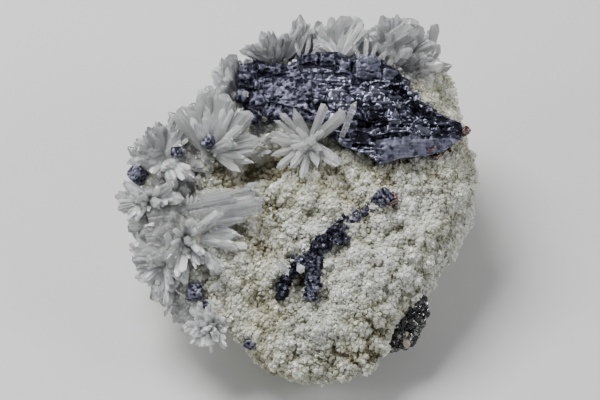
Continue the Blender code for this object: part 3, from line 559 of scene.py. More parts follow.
class Crystals:
    """Points and faces of many crystals that make one piece."""

    def __init__(self):
        self.vertices = []
        self.faces = []
        self.tones = []

    def prism(self, base, tip, width, flat, dice, tone=0.5, broad=None, points=SLENDER):
        """A six-sided crystal, striated along its faces, that ends in a slanted point."""
        axis = (tip - base).normalized()
        length = (tip - base).length
        broad = self.broad_side(axis) if broad is None else broad
        broad = (broad - axis * broad.dot(axis)).normalized()
        thin = axis.cross(broad)
        radius = 0.5 * width * MM
        point = min(dice.uniform(*points) * width * MM * (0.4 + 0.6 * flat), 0.4 * length)
        shoulder = length - point
        uneven = [dice.uniform(0.82, 1.12) for _ in range(6)]
        step = [dice.uniform(-0.35, 0.35) * point for _ in range(6)]
        slant = dice.uniform(-0.4, 0.4)
        ridges = 4 if width > 2.5 else 2
        groove = [dice.uniform(-0.07, 0.03) if i % ridges else 0.0 for i in range(6 * ridges)]
        first = len(self.vertices)
        # Rings: how far along, how wide, and how much the corners' levels differ
        rings = [(0.0, 0.85, 0), (0.45 * shoulder, 1.0, 0), (shoulder, dice.uniform(0.8, 1.05), 1)]
        for reach, wide, uneven_level in rings:
            corners = []
            for side in range(6):
                angle = (side + 0.5) * math.pi / 3
                x = math.cos(angle) * wide * uneven[side] * radius
                y = math.sin(angle) * wide * uneven[side] * radius * flat
                rise = reach + uneven_level * (step[side] + slant * x)
                corners.append(broad * x + thin * y + axis * rise)
            for i in range(6 * ridges):
                share = i % ridges / ridges
                corner = corners[i // ridges].lerp(corners[(i // ridges + 1) % 6], share)
                along = axis * corner.dot(axis)
                self.vertices.append(base + along + (corner - along) * (1 + groove[i]))
                self.tones.append(tone + 0.5 * (1 - reach / length))
        # The tip: a short edge across the broad side
        ridge = broad * radius * (1 - flat) * 0.45
        lean = broad * dice.uniform(-0.3, 0.3) * radius
        self.vertices += [base, tip + lean + ridge, tip + lean - ridge]
        self.tones += [tone + 0.5, tone - 0.1, tone - 0.1]
        foot, end = len(self.vertices) - 3, len(self.vertices) - 2
        count = 6 * ridges
        top = first + 2 * count
        for i in range(count):
            after = (i + 1) % count
            self.faces.append((foot, first + after, first + i))
            for ring in range(2):
                low, high = first + count * ring, first + count * (ring + 1)
                self.faces.append((low + i, low + after, high + after, high + i))
            far_half = count // 4 <= i < 3 * count // 4
            self.faces.append((top + i, top + after, end + far_half))
        # The two triangles that close the tip's edge
        self.faces.append((top + count // 4, end + 1, end))
        self.faces.append((top + 3 * count // 4, end, end + 1))

    def broad_side(self, axis):
        """The direction across an axis in which a flat crystal is broad."""
        broad = axis.cross(TOWARDS)
        return (broad if broad.length > 0.2 else axis.cross(UP)).normalized()

    def bundle(self, base, tip, width, flat, dice, tone=0.5):
        """A crystal, and where it is broad the lesser ones that make its end jagged."""
        if width <= 4:
            self.prism(base, tip, width * 1.1, flat, dice, tone=tone)
            return
        self.prism(base, tip, width * 0.85, flat, dice, tone=tone, points=BROAD)
        axis = (tip - base).normalized()
        broad = self.broad_side(axis)
        thin = axis.cross(broad)
        count = 4 if width < 6 else 7
        for number in range(count):
            share = (number + 0.5) / count - 0.5 + dice.uniform(-0.06, 0.06)
            narrow = dice.uniform(0.18, 0.34)
            aside = broad * (0.9 * share * width * MM)
            sunk = thin * (dice.uniform(-0.3, 0.3) * width * flat * MM)
            reach = base.lerp(tip, dice.uniform(0.86, 1.02) - 0.5 * share * share)
            shade = tone + dice.uniform(-0.25, 0.25)
            if not hides_bead(base + aside, reach + aside, width * narrow):
                self.prism(base + aside * 0.75 + sunk, reach + aside + sunk, width * narrow,
                           min(1.0, 0.75 * flat / narrow), dice, tone=shade, broad=broad,
                           points=BLUNT)

    def fill(self, base, tips, count, reach, widths, dice):
        """Lesser crystals between neighbouring tips, so that a spray is one jagged mass."""
        axes = sorted(tips, key=lambda tip: math.atan2((tip - base) @ UP, (tip - base) @ RIGHT))
        for _ in range(count):
            place = dice.randrange(len(axes))
            here, after = axes[place] - base, axes[(place + 1) % len(axes)] - base
            if here.angle(after) > WIDEST_GAP:
                continue
            ray = here.lerp(after, dice.uniform(0.1, 0.9)) * dice.uniform(*reach)
            ray += Vector([dice.gauss(0, 0.6) for _ in range(3)]) * MM
            foot = base + ray * 0.15
            width = dice.uniform(*widths)
            if not hides_bead(foot, base + ray, width):
                self.prism(foot, base + ray, width, dice.uniform(0.3, 0.65), dice,
                           tone=dice.uniform(0.2, 0.8), points=STEEP)

    def piece(self, name, material):
        made = new_object(name, self.vertices, self.faces, material)
        face_outwards(made.data)
        store(made.data, "tone", self.tones)
        return made


def quartz_grain(dice):
    """A template prism for small scattered quartz, growing along +Z, 1 mm wide."""
    crystals = Crystals()
    reach = dice.uniform(1.0, 2.3)
    crystals.prism(Vector((0, 0, -0.5 * MM)), Vector((0, 0, reach * MM)), 1.0,
                   dice.uniform(0.45, 0.95), dice, broad=Vector((1, 0, 0)))
    return [tuple(v) for v in crystals.vertices], crystals.faces


# The matrix

ROCK_VOXEL = 0.85         # size of its faces
LUMP_SIZES = [(9.5, 1.5), (4.6, 1.5), (2.3, 0.5)]     # width and height of the druse's lumps
BASE_SINK = 1.8           # how far the rock lies below the solid's skin before the lumps swell
# Where a change begins and where it is complete, by height above the floor
DRUSE_HEIGHT, SWELL_HEIGHT = (0.5, 4.0), (0.3, 3.0)
CRYSTAL_HEIGHT, BANK_HEIGHT = (0.9, 2.0), (11.0, 16.0)
DRUSE_FACING = (-0.75, -0.25)    # the same, from the back (-1) to the front (1)
LOWER_RIM_SHADE = (39.0, 48.0)         # how far down the face painted shade on its lower rim begins, and where it is full
LOWER_PATCH = -12.0       # the v below which the druse is one patch
# Lines (u, v) along which small prisms fill the gaps between the sprays, and how far from them
BANK_LINE = [
    (-30, -36), (-38, -28), (-43, -20), (-47, -10), (-49, 0), (-45, 10), (-37, 19), (-29, 25),
    (-20, 34), (-9, 43), (4, 46), (17, 47), (30, 46), (36, 43),
]
INNER_LINE = [(-38, -16), (-40, -4), (-36, 6), (-32, 14), (-24, 20)]
BANK_REACH = 7.0
# Hollows in the druse, their bottoms darkened with painted shade: middle (u, v), half width and
# half height, depth
HOLLOWS = [
    ((-9.5, 9.2), (8.0, 3.2), 4.0), ((-24.5, 5.6), (8.0, 5.5), 1.9),
    ((-19.6, -8.0), (2.6, 2.4), 3.0), ((7.6, -27.6), (1.8, 2.8), 1.6),
    ((0.8, -24.4), (1.6, 2.0), 1.6), ((10.8, -49.4), (2.2, 1.8), 1.8),
    ((-10.0, -8.0), (2.4, 3.0), 1.2), ((-7.0, -0.6), (7.5, 3.6), 0.2),
    ((27.0, -39.5), (6.0, 1.6), 0.9), ((35.6, -43.2), (1.8, 1.2), 1.2),
    ((21.5, -13.5), (1.6, 1.0), 1.0), ((-20.5, -21.0), (3.0, 1.6), 0.9),
    ((30.5, -29.5), (1.4, 2.6), 0.9),
]
BACK = -20.0              # the w behind which a hollow doesn't reach


def lump_height(point, size):
    """Height between 0 in a crease and 1 on the crown of the lump that holds a point."""
    nearest = noise.voronoi(point / size)[0]
    return max(0.0, 1 - (nearest[0] / 0.72) ** 2) * min(1.0, 5 * (nearest[1] - nearest[0]))


def distance_to_line(places, line):
    """Distance from each place to a line of (u, v), seen from in front."""
    best = np.full(len(places), 1e9)
    for a, b in zip(line, line[1:]):
        a, b = np.array(a, float), np.array(b, float)
        along = np.clip((places[:, :2] - a) @ (b - a) / ((b - a) @ (b - a)), 0, 1)
        gap = places[:, :2] - a - along[:, None] * (b - a)
        best = np.minimum(best, np.hypot(gap[:, 0], gap[:, 1]))
    return best


def make_rock(material):
    """The rock, its face swollen into the lumps that the crystallites grow on."""
    rock = remeshed("matrix", "matrix_rock", ROCK_VOXEL)
    mesh = rock.data
    points, normals = points_of(mesh), normals_of(mesh)
    places = face_places(points)
    up = points[:, 2] / MM
    druse = smoothstep(normals @ np.array(TOWARDS), *DRUSE_FACING) * smoothstep(up, *DRUSE_HEIGHT)
    heights, relief = np.zeros(len(points)), np.zeros(len(points))
    whole = sum(height for _, height in LUMP_SIZES)
    # The lumps also set painted shade: dark in their creases, light on their crowns
    for size, height in LUMP_SIZES:
        level = np.array([lump_height(Vector(p / MM), size) for p in points])
        heights += level * height
        relief += level * height / whole
    for (u, v), (wide, tall), depth in HOLLOWS:
        gap = ((places[:, 0] - u) / wide) ** 2 + ((places[:, 1] - v) / tall) ** 2
        share = np.exp(-gap) * (places[:, 2] > BACK)
        heights -= depth * share
        # Painted shade at the bottom of each hollow
        relief -= (0.2 + 0.12 * depth) * share
    # Painted shade towards the lower rim, which faces away from the light
    relief = np.clip(relief + 0.06 - 0.25 * smoothstep(-places[:, 1], *LOWER_RIM_SHADE), 0, 1)
    broken = 0.9 * noise_at(points, 3.5 * MM) - 0.3
    move = druse * (heights - BASE_SINK) + (1 - druse) * broken
    moved = points + normals * (move * smoothstep(up, *SWELL_HEIGHT) * MM)[:, None]
    moved[:, 2] = np.maximum(moved[:, 2], 0)
    moved[up < 0.2, 2] = 0
    set_points(mesh, moved)
    coat(mesh, material)
    # The painted shade, held even on the broken back
    store(mesh, "relief", relief * druse + 0.35 * (1 - druse))
    store(mesh, "bare", 1 - druse)
    mark_growth(mesh, points, normals, places, moved[:, 2] / MM, druse)
    return rock


def mark_growth(mesh, points, normals, places, up, druse):
    """Stores where the crystallites and the small prisms between the sprays grow."""
    clear = smoothstep(up, *CRYSTAL_HEIGHT) * (normals[:, 2] > -0.6)
    patches = noise_at(points, 11 * MM)
    cover = np.clip(druse + 0.9 * smoothstep(patches, 0.0, 0.25), 0, 1) * clear
    left = places[:, 0] < 0
    low = places[:, 1] < LOWER_PATCH
    store(mesh, "druse_upper_left", cover * (left & ~low))
    store(mesh, "druse_upper_right", cover * (~left & ~low))
    store(mesh, "druse_lower", cover * low)
    aside = np.minimum(distance_to_line(places, BANK_LINE), distance_to_line(places, INNER_LINE))
    bank = 1 - smoothstep(aside, 0.5 * BANK_REACH, BANK_REACH)
    for middle, radius in BEADS:
        gap = np.hypot(places[:, 0] - middle[0], places[:, 1] - middle[1])
        bank *= smoothstep(gap, radius + 1, radius + 3)
    forward = normals @ np.array(TOWARDS) > -0.3
    store(mesh, "quartz_bank", bank * clear * smoothstep(up, *BANK_HEIGHT) * forward)


FEELER = 80.0             # how far out a ray towards the face starts
STEPS_IN, STEP_IN = 60, 0.012    # where a ray misses, the next ones start nearer the middle


class Ground:
    """The surfaces that crystals grow from, felt from in front."""

    def __init__(self, *bodies):
        self.trees = []
        for body in bodies:
            shape = bmesh.new()
            shape.from_mesh(body.data)
            self.trees.append(BVHTree.FromBMesh(shape))
            shape.free()

    def depth(self, u, v, layer=None):
        """How far out the surface lies at (u, v), or at the nearest place inwards."""
        trees = self.trees if layer is None else self.trees[layer:layer + 1]
        for step in range(STEPS_IN):
            inwards = 1 - step * STEP_IN
            origin = at(u * inwards, v * inwards, FEELER)
            hits = [tree.ray_cast(origin, -TOWARDS)[3] for tree in trees]
            reached = [FEELER - hit / MM for hit in hits if hit is not None]
            if reached:
                return max(reached)
        return 0.0


# Galena

GALENA_VOXEL, BEAD_VOXEL = 0.28, 0.2
DULL = 0.8                # how dull the small crystals are, from 0 to 1
# Blocks that stand out of the crystal's stepped rim: middle (u, v), width and height
RIM_BLOCKS = [
    ((-9.5, 39.7), 9.6, 3.2), ((-16.4, 35.8), 4.2, 4.2), ((-17.2, 31.2), 3.0, 4.6),
    ((-13.2, 25.4), 4.6, 5.2), ((3.4, 42.6), 5.4, 3.6), ((8.9, 42.4), 4.8, 3.8),
    ((14.0, 40.4), 4.2, 4.4), ((21.1, 40.0), 7.8, 8.2), ((27.7, 37.0), 4.8, 5.8),
    ((31.8, 34.6), 4.0, 4.4), ((34.4, 30.8), 4.4, 4.0), ((38.2, 27.2), 4.6, 3.4),
    ((23.0, 24.9), 5.6, 2.8), ((6.2, 29.6), 3.4, 2.2),
]
BLOCK_DEPTH, BLOCK_RISE = 6.0, 1.1    # how thick a block is, and how far it stands out
JOINT = 1.3               # width of the sunken joint round a block, darkened with painted shade
BAR, BAR_LENGTHS = 0.88, (2.2, 7.0)    # height of a bar, and how long bars are
MEET = (1.0, 9.0)         # u where the pitted left part passes into the barred right part
TOP = (35.5, 38.5)        # v where the bars give way to smoother blocks
BEVEL_U, BEVEL_V = (22, 27), (-21.0, -18.5)      # where the smooth lower right bevel begins


def chance(*spot):
    """A number from 0 to 1 that belongs to a few whole numbers."""
    return noise.cell(Vector([n + 0.5 for n in (*spot, 0, 0)[:3]]))


def pit_relief(u, v, w):
    """Rounded lumps about 1 mm wide with small pits between them: 0 in a pit, 1 on a lump."""
    place = Vector((u, v, w))
    rough = noise.noise(place / 1.3) + 0.5 * noise.noise(place / 0.6)
    lump = 0.5 + 0.6 * noise.noise(place / 0.9) + 0.5 * noise.noise(place / 0.48)
    return min(1.0, max(0.0, (rough + 0.42) / 0.3)) * min(1.0, 0.5 + 0.5 * lump)


def bar_relief(u, v, w):
    """Level bars laid side by side, staggered like shingles: 0 in a gap, 1 on a high bar."""
    v += 0.35 * noise.noise(Vector((u, v, w)) / 4.5)
    row = math.floor(v / BAR)
    across = v / BAR - row
    length = BAR_LENGTHS[0] + (BAR_LENGTHS[1] - BAR_LENGTHS[0]) * chance(row, 1)
    along = u / length + 7 * chance(row, 2)
    part = math.floor(along)
    end = min(along - part, part + 1 - along) * length
    level = chance(row, 3, part)
    if level < 0.16:
        return 0.0
    rounded = 1 - (2 * across - 1) ** 4
    return (0.25 + 0.75 * level) * rounded * min(1.0, end / 0.3)


def block_relief(u, v, w):
    """Bigger blocks with straight edges: 0 in a joint, up to 1 on the highest block."""
    gaps, centres = noise.voronoi(Vector((u / 4.6, v / 3.2, w / 4)), distance_metric="CHEBYCHEV")
    level = noise.cell(centres[0] * 37.0)
    return (0.3 + 0.7 * level) * min(1.0, (gaps[1] - gaps[0]) / 0.14)


def block_joints(u, v):
    """1 in the joints round the rim's blocks, 0 elsewhere."""
    u = u + 0.6 * np.array([noise.noise(Vector((a / 2.2, b / 2.2, 3))) for a, b in zip(u, v)])
    v = v + 0.6 * np.array([noise.noise(Vector((a / 2.2, b / 2.2, 7))) for a, b in zip(u, v)])
    joint, inside = np.zeros(len(u)), np.zeros(len(u))
    for (middle_u, middle_v), width, height in RIM_BLOCKS:
        gap = np.maximum(abs(u - middle_u) - width / 2, abs(v - middle_v) - height / 2)
        joint = np.maximum(joint, 1 - smoothstep(gap, 0.4 * JOINT, JOINT))
        inside = np.maximum(inside, 1 - smoothstep(gap, -0.3, 0.1))
    return joint * (1 - inside)


def add_rim_blocks(crystal):
    """Worn blocks, each a little turned, that make the crystal's rim stepped."""
    face = Ground(crystal)
    shape = bmesh.new()
    shape.from_mesh(crystal.data)
    for (u, v), width, height in RIM_BLOCKS:
        block = bmesh.ops.create_cube(shape, size=MM)["verts"]
        spread = Matrix((RIGHT * width, UP * height, TOWARDS * BLOCK_DEPTH)).transposed().to_4x4()
        skew = Matrix.Rotation(0.3 * (chance(round(u), round(v)) - 0.5), 4, TOWARDS)
        middle = at(u, v, face.depth(u, v) + BLOCK_RISE - BLOCK_DEPTH / 2)
        place = Matrix.Translation(middle) @ skew @ spread
        bmesh.ops.transform(shape, matrix=place, verts=block)
        edges = {edge for vertex in block for edge in vertex.link_edges}
        worn = (0.2 + 0.11 * min(width, height)) * MM
        bmesh.ops.bevel(shape, geom=list(edges), offset=worn, segments=2, affect="EDGES")
    shape.to_mesh(crystal.data)
    shape.free()


def make_galena(material):
    """The big crystal, its faces etched into winding pits at the left and bars at the right."""
    crystal = welded_copy("galena_crystal", "galena_etched")
    add_rim_blocks(crystal)
    even_out(crystal, GALENA_VOXEL)
    mesh = crystal.data
    points, normals = points_of(mesh), normals_of(mesh)
    places = face_places(points)
    u, v = places[:, 0], places[:, 1]
    outward = 0.35 + 0.65 * np.clip(normals @ np.array(TOWARDS), 0, 1)
    bevel = smoothstep(u, *BEVEL_U) * smoothstep(-v - 0.02 * u, *BEVEL_V)
    barred = smoothstep(u + 2.5 * np.sin(0.7 * v), *MEET)
    pits = np.array([pit_relief(*place) for place in places])
    bars = np.array([bar_relief(*place) for place in places])
    blocks = np.array([block_relief(*place) for place in places])
    top = smoothstep(v, *TOP)
    fine = pits * (1 - barred) + (bars * (1 - top) + (0.2 + 0.6 * pits) * top) * barred
    blocks = blocks * (1 - 0.6 * top * barred) + 0.36 * top * barred
    share = 0.4 - 0.22 * (1 - barred)
    # Colour level, low in pits and in gaps between bars: partly dull oxide, partly painted shade
    relief = ((1 - share) * fine + share * blocks) * (1 - bevel) + (0.42 + 0.25 * pits) * bevel
    striae = noise_at(places, np.array((6, 0.5, 3)))
    smooth = 0.1 * striae + 0.15 * pits - 0.4
    joints = block_joints(u, v)
    relief = relief * (0.65 + 0.35 * barred) + 0.2 * (1 - barred)
    # Painted shade in the joints round the rim's blocks
    relief = np.clip(relief - 0.3 * joints, 0, 1)
    move = (0.62 * fine + 0.8 * blocks - 0.75) * (1 - bevel) + smooth * bevel - 0.6 * joints
    set_points(mesh, points + normals * (move * outward * MM)[:, None])
    mesh.shade_smooth()
    coat(mesh, material)
    store(mesh, "relief", relief)
    store(mesh, "dull", np.clip(1.1 * (1 - barred) + 0.85 * bevel + 0.7 * top, 0, 1.1))
    return crystal


def make_bead(node, material, rounding=14, swell=0.0, shift=0.1):
    """A small galena or sphalerite crystal with lumpy, etched faces."""
    bead = remeshed(node, node + "_etched", BEAD_VOXEL, rounding)
    mesh = bead.data
    points, normals = points_of(mesh), normals_of(mesh)
    lumps = noise_at(points, 0.8 * MM)
    move = 0.4 * lumps + swell * noise_at(points, 2.6 * MM) + shift
    set_points(mesh, points + normals * (move * MM)[:, None])
    mesh.shade_smooth()
    coat(mesh, material)
    # Painted shade between the lumps, lighter on their crowns
    store(mesh, "relief", np.clip(0.6 + 0.9 * lumps, 0, 1))
    store(mesh, "dull", np.full(len(points), DULL))
    return bead


# Sprays of quartz by node: the root (u, v), and the crystals' tips as offsets from it,
# rise, width, how flat, and where the foot is if not near the root
SPRAYS = {
    "quartz_star": ((3.6, 17.1), [
        (-10.9, 6.9, 4.5, 1.9), (-9.0, 9.0, 5.5, 1.9), (-11.6, 3.2, 3, 1.8),
        (-12.0, 0.4, 4, 2.6), (-11.9, -4.0, 2, 2.4), (-10.0, -7.6, 4, 2.4),
        (-5.8, -7.6, 5, 2.6), (-2.4, -11.0, 6, 2.8), (2.4, -7.4, 6, 3.2),
        (8.6, -6.6, 7, 5.0, 0.6), (-5.4, 10.4, 5, 3.2), (4.4, 11.4, 6, 2.6),
        (10.4, 8.9, 3, 4.4, 0.6), (0.6, 0.8, 8.5, 3.4), (3.6, -2.4, 8.0, 3.0),
        (-3.4, -1.6, 8.0, 3.0),
    ]),
    "quartz_fan_upper_left": ((-25.8, 14.4), [
        (-2.9, 16.2, 5.5, 2.2, 1.0, (-3.3, 4.5)), (0.9, 12.4, 7, 2.6),
        (11.2, 12.4, 4.5, 6.4, 0.4), (5.0, 17.2, 4, 6.6, 0.45), (9.8, 7.6, 8, 2.2),
        (14.0, 3.4, 4, 6.4, 0.4), (12.8, -3.4, 5, 2.6), (8.6, -6.2, 4.5, 2.4),
        (6.0, 2.6, 9, 4.4), (-9.2, 13.6, 2, 8.6, 0.4), (-1.8, 19.8, 2, 8.0, 0.4),
        (-5.0, 8.6, 7, 3.2),
    ]),
    "quartz_blocks_top_left": ((-40.4, 12.6), [
        (3.2, 13.4, 3, 3.0), (-4.6, 9.6, 3, 6.6, 0.8), (-10.8, 3.4, 2, 6.8, 0.8),
        (-11.4, -1.4, 1, 2.6, 0.8), (-5.8, -1.2, 8, 7.4, 0.9), (-0.8, 11.0, 4, 5.4, 0.8),
        (7.2, 9.6, 4, 4.6), (6.6, 2.6, 7, 5.0), (9.6, -6.6, 5, 4.0), (3.6, -8.6, 6.5, 5.0),
    ]),
    "quartz_blade_left": ((-33.4, -11.6), [
        (22.6, 10.4, 6, 8.6, 0.42, (-11.0, 5.2)), (21.0, 14.4, 4, 4.6, 0.5, (-9.0, 8.4)),
        (17.4, 1.2, 5, 2.8), (16.0, -2.8, 4, 3.2), (5.6, -7.4, 7, 2.4),
        (-2.6, -12.0, 6, 5.2, 0.6), (11.0, -9.6, 2.5, 5.0, 0.5), (-0.9, 6.8, 10, 2.2),
        (5.6, 4.2, 10, 2.6), (-5.6, -6.2, 8, 4.2), (1.2, -1.0, 9.5, 3.0),
        (13.0, 3.4, 3.0, 8.4, 0.24, (-12.0, -0.6)), (6.4, -2.4, 3.4, 6.4, 0.3, (-12.0, -4.6)),
    ]),
    "quartz_edge_left": ((-44.4, -0.4), [
        (-10.8, 1.4, 1, 5.6, 0.6), (-8.2, 5.6, 2, 4.6, 0.7), (-9.8, -2.4, 2, 4.8, 0.7),
        (-6.6, -6.4, 3, 5.0, 0.7), (6.6, 4.6, 7, 4.4, 0.7), (10.6, 1.2, 6, 3.6),
        (-3.4, 1.2, 7, 4.8), (3.0, -0.8, 8, 3.4),
    ]),
    "quartz_lower_left": ((-40.0, -18.2), [
        (-10.2, 5.6, 1, 5.6, 0.6), (-9.6, 0.4, 3, 6.8, 0.6), (-8.2, -5.4, 2, 6.4, 0.6),
        (-2.2, -11.0, 2, 5.0, 0.6), (1.6, -14.4, 2, 4.2), (-3.0, 0.2, 7, 5.0),
        (2.6, -5.6, 6, 3.6),
    ]),
    "quartz_crown_left": ((-19.2, 32.0), [
        (-1.4, 12.0, 5, 6.8, 0.6), (-6.6, 6.8, 5, 3.6), (-5.0, -0.8, 6, 5.4, 0.6),
        (-5.2, 9.6, -1, 5.6, 0.7),
    ]),
    "quartz_crown_spray": ((-6.4, 41.5), [
        (-11.4, 4.2, 4, 3.0), (-7.4, 6.0, 5, 3.0, 1.0, (-3.0, 0.5)), (-5.0, 9.6, 4, 3.4),
        (-1.6, 9.8, 5.5, 3.2), (2.6, 8.8, 4, 3.0), (7.4, 14.8, 3, 5.0, 0.8, (5.6, 0.5)),
        (10.6, 12.0, 2, 4.0, 1.0, (6.2, 0.5)), (-4.0, 7.6, -5, 5.4, 0.7),
        (3.0, 9.0, -4, 5.4, 0.7), (11.2, 9.0, 2.5, 6.0, 0.5, (8.6, 1.2)),
    ]),
    "quartz_crown_blade": ((13.0, 42.4), [
        (0.8, 13.4, 2, 12.0, 0.34, (0.0, 0.5)), (-6.0, 10.0, 1, 6.0, 0.6),
        (6.0, 12.6, 1, 5.4, 0.7), (8.6, 9.0, 6.5, 3.2, 1.0, (0.0, 0.8)),
        (9.8, 7.2, 2, 6.0, 0.6), (-8.6, 5.6, 2, 5.0, 0.6), (-0.6, 8.6, -5, 6.4, 0.7),
        (10.6, 9.8, -2, 5.6, 0.5, (6.0, 0.0)),
    ]),
    "quartz_crown_fan": ((29.4, 41.2), [
        (-4.2, 14.6, 1, 6.6, 0.6), (0.8, 15.2, 1, 4.8), (5.0, 13.8, 2, 6.2, 0.6),
        (8.6, 10.8, 2, 6.2, 0.5), (12.2, 12.2, 0, 4.2, 0.5, (10.2, 2.4)),
        (5.8, 10.0, 6.5, 7.4, 0.45, (-5.0, 4.0)), (12.6, 6.2, 2, 5.2, 0.6),
        (14.4, -0.6, 3, 5.4, 0.6), (1.0, 10.2, -5, 6.8, 0.7), (8.6, 8.0, -6, 6.0, 0.7),
        (3.4, 3.4, 8, 5.0),
        (-7.6, 8.4, 3, 5.0, 0.6, (-6.4, 0.4)), (-8.6, 9.8, 3, 6.4, 0.5, (-8.0, 0.6)),
        (-4.4, 9.4, 3, 5.4, 0.5, (-4.8, 0.8)),
    ]),
}
SINK = 2.0                # how far the roots lie below a spray's base
FOOT_DROP = 2.5           # how much deeper the foot of an outlying crystal may lie
# How many lesser crystals fill a spray, how long they are beside its main ones, how wide
FILLS = {
    "quartz_star": (24, (0.25, 0.6), (1.2, 2.4)),
    "quartz_fan_upper_left": (44, (0.4, 0.85), (1.3, 3.2)),
    "quartz_crown_fan": (74, (0.4, 0.8), (1.2, 3.0)),
    "others": (74, (0.5, 1.0), (1.2, 3.0)),
}
# The sprays whose crystals are cloudy, where the others are clear
CLOUDY = (
    "quartz_star", "quartz_fan_upper_left", "quartz_lower_left", "quartz_edge_left",
    "quartz_crown_spray", "quartz_crown_blade", "quartz_crown_fan",
)
FOUND_WITHIN = 0.8        # how near a solid's corner has to be to count as a crystal's tip


def make_spray(node, root, spikes, rock):
    """A spray's crystals again, where its solid has them, round a milky core of lesser ones."""
    dice = random.Random(node)
    corners = face_places(points_of(nodes[node].data))
    tips = []
    for du, dv, rise, *_ in spikes:
        gaps = np.hypot(corners[:, 0] - root[0] - du, corners[:, 1] - root[1] - dv)
        near = corners[gaps < FOUND_WITHIN]
        tips.append(float(near[:, 2].max()) if len(near) else None)
    level = min(tip - spike[2] for tip, spike in zip(tips, spikes) if tip is not None)
    crystals = Crystals()
    ends = []
    for tip_w, (du, dv, rise, width, *shape) in zip(tips, spikes):
        flat = shape[0] if shape else 1.0
        foot = shape[1] if len(shape) > 1 else (0.1 * du, 0.1 * dv)
        foot_u, foot_v, foot_w = root[0] + foot[0], root[1] + foot[1], level - SINK
        if len(shape) > 1:
            foot_w = max(foot_w - FOOT_DROP, min(foot_w, rock.depth(foot_u, foot_v) - 0.5))
        tip_w = level + rise if tip_w is None else tip_w
        base = at(foot_u, foot_v, foot_w)
        tip = at(root[0] + du, root[1] + dv, tip_w)
        crystals.bundle(base, tip, width, flat, dice, tone=dice.uniform(0.25, 0.65))
        ends.append(tip)
    core = Crystals()
    count, reach, widths = FILLS.get(node, FILLS["others"])
    core.fill(at(*root, level - 0.5 * SINK), ends, count, reach, widths, dice)
    outer = cloudy_material if node in CLOUDY else clear_material
    return crystals.piece(node + "_crystals", outer), core.piece(node + "_core", milky_material)


# Jagged fringes between the sprays: a line of roots (u, v), how many crystals, how long and
# how wide they are
FRINGES = {
    "crown_fringe": ([
        (-15, 37.5), (-8, 40.5), (0, 44), (6, 45.5), (14, 45.5), (21, 44.5), (27, 41.5),
        (33, 37.5),
    ], 95, (3.5, 8.6), (1.8, 4.6)),
    "edge_fringe": ([
        (-28, -37), (-35, -30), (-40, -22), (-44, -12), (-46, -2), (-45, 7), (-40, 14),
        (-33, 20), (-26, 26), (-20, 32),
    ], 120, (3.0, 7.4), (1.8, 4.8)),
}
FRINGE_MIDDLE = (0.0, 2.0)       # the crystals lean away from this place
LOWEST_TIP = 3.5          # the least height of a tip above the floor


def make_fringe(name, line, count, lengths, widths, ground, material):
    """Crystals that lean outwards from a line of roots, overlapping in a ragged wall."""
    dice = random.Random(name)
    crystals = Crystals()
    for number in range(count):
        place = (number + dice.random()) / count * (len(line) - 1)
        part = min(int(place), len(line) - 2)
        (u0, v0), (u1, v1) = line[part], line[part + 1]
        u = u0 + (u1 - u0) * (place - part) + dice.gauss(0, 0.9)
        v = v0 + (v1 - v0) * (place - part) + dice.gauss(0, 0.9)
        lean = math.atan2(v - FRINGE_MIDDLE[1], u - FRINGE_MIDDLE[0]) + dice.gauss(0, 0.4)
        length = dice.uniform(*lengths)
        rise = dice.uniform(-0.25, 0.75) * length
        depth = ground.depth(u, v, layer=0) - 1.0
        tip = at(u + length * math.cos(lean), v + length * math.sin(lean), depth + rise)
        width = dice.uniform(*widths)
        if tip.z > LOWEST_TIP * MM and not hides_bead(at(u, v, depth), tip, width):
            crystals.prism(at(u, v, depth), tip, width, dice.uniform(0.3, 0.8),
                           dice, tone=dice.uniform(0.1, 0.8),
                           points=BLUNT if number % 3 else (0.5, 1.1))
    return crystals.piece(name, material)


# Single small crystals: root (u, v), the way to the tip (u, v, w), width, how flat
SMALL_CLEAR = [
    ((-15.9, 31.8), (0.0, 0.3, 1.4), 2.6, 1.0),
    ((-9.6, 24.4), (-2.4, 0.9, 1.6), 2.4, 0.9), ((-7.0, 22.6), (-2.8, -1.0, 1.6), 2.4, 0.9),
    ((-11.4, 21.0), (-2.2, 1.8, 1.6), 2.2, 1.0), ((-13.6, 20.0), (-0.4, 2.4, 1.6), 2.2, 0.9),
    ((-4.6, 24.0), (-1.6, 2.2, 1.4), 1.8, 1.0),
    ((0.8, 43.0), (-1.6, 4.2, 0.6), 1.3, 0.5), ((2.2, 43.0), (1.4, 5.6, 0.2), 1.6, 0.45),
    ((3.8, 43.2), (2.8, 3.4, 1.0), 1.2, 0.5), ((18.6, 42.6), (-2.4, 4.2, 0.8), 1.4, 0.5),
    ((20.2, 42.6), (0.4, 6.0, 0.2), 1.7, 0.45), ((22.0, 42.4), (1.8, 5.0, 0.6), 1.5, 0.5),
    ((23.6, 41.8), (3.2, 3.2, 1.0), 1.2, 0.5),
]
SMALL_MILKY = [
    ((-2.2, 42.4), (0.8, 0.9, 2.4), 2.2, 0.7), ((-1.4, 41.8), (1.6, 0.2, 2.0), 1.5, 0.8),
    ((30.4, 39.2), (0.8, 0.4, 1.6), 1.0, 0.9),
    ((-2.0, 43.2), (0.2, 1.8, 1.6), 1.3, 0.7), ((-3.0, 42.0), (-1.4, 0.8, 2.0), 1.2, 0.8),
    ((-2.4, 41.4), (-0.4, -1.2, 2.0), 1.2, 0.8),
    ((-45.4, 9.6), (-0.2, 6.2, 4.0), 6.4, 0.45), ((-35.4, -15.6), (1.8, -9.4, 4.0), 5.4, 0.4),
    ((-32.0, -15.2), (1.8, -5.2, 5.0), 1.8, 0.8), ((-38.0, -14.0), (-1.2, 4.4, 6.0), 2.6, 0.5),
    ((-12.6, 15.6), (4.4, 2.4, 1.6), 1.7, 0.9),
    ((-12.4, 14.4), (4.6, 0.2, 1.8), 1.9, 0.9), ((-11.4, 17.0), (3.0, 3.2, 1.8), 1.6, 0.9),
]
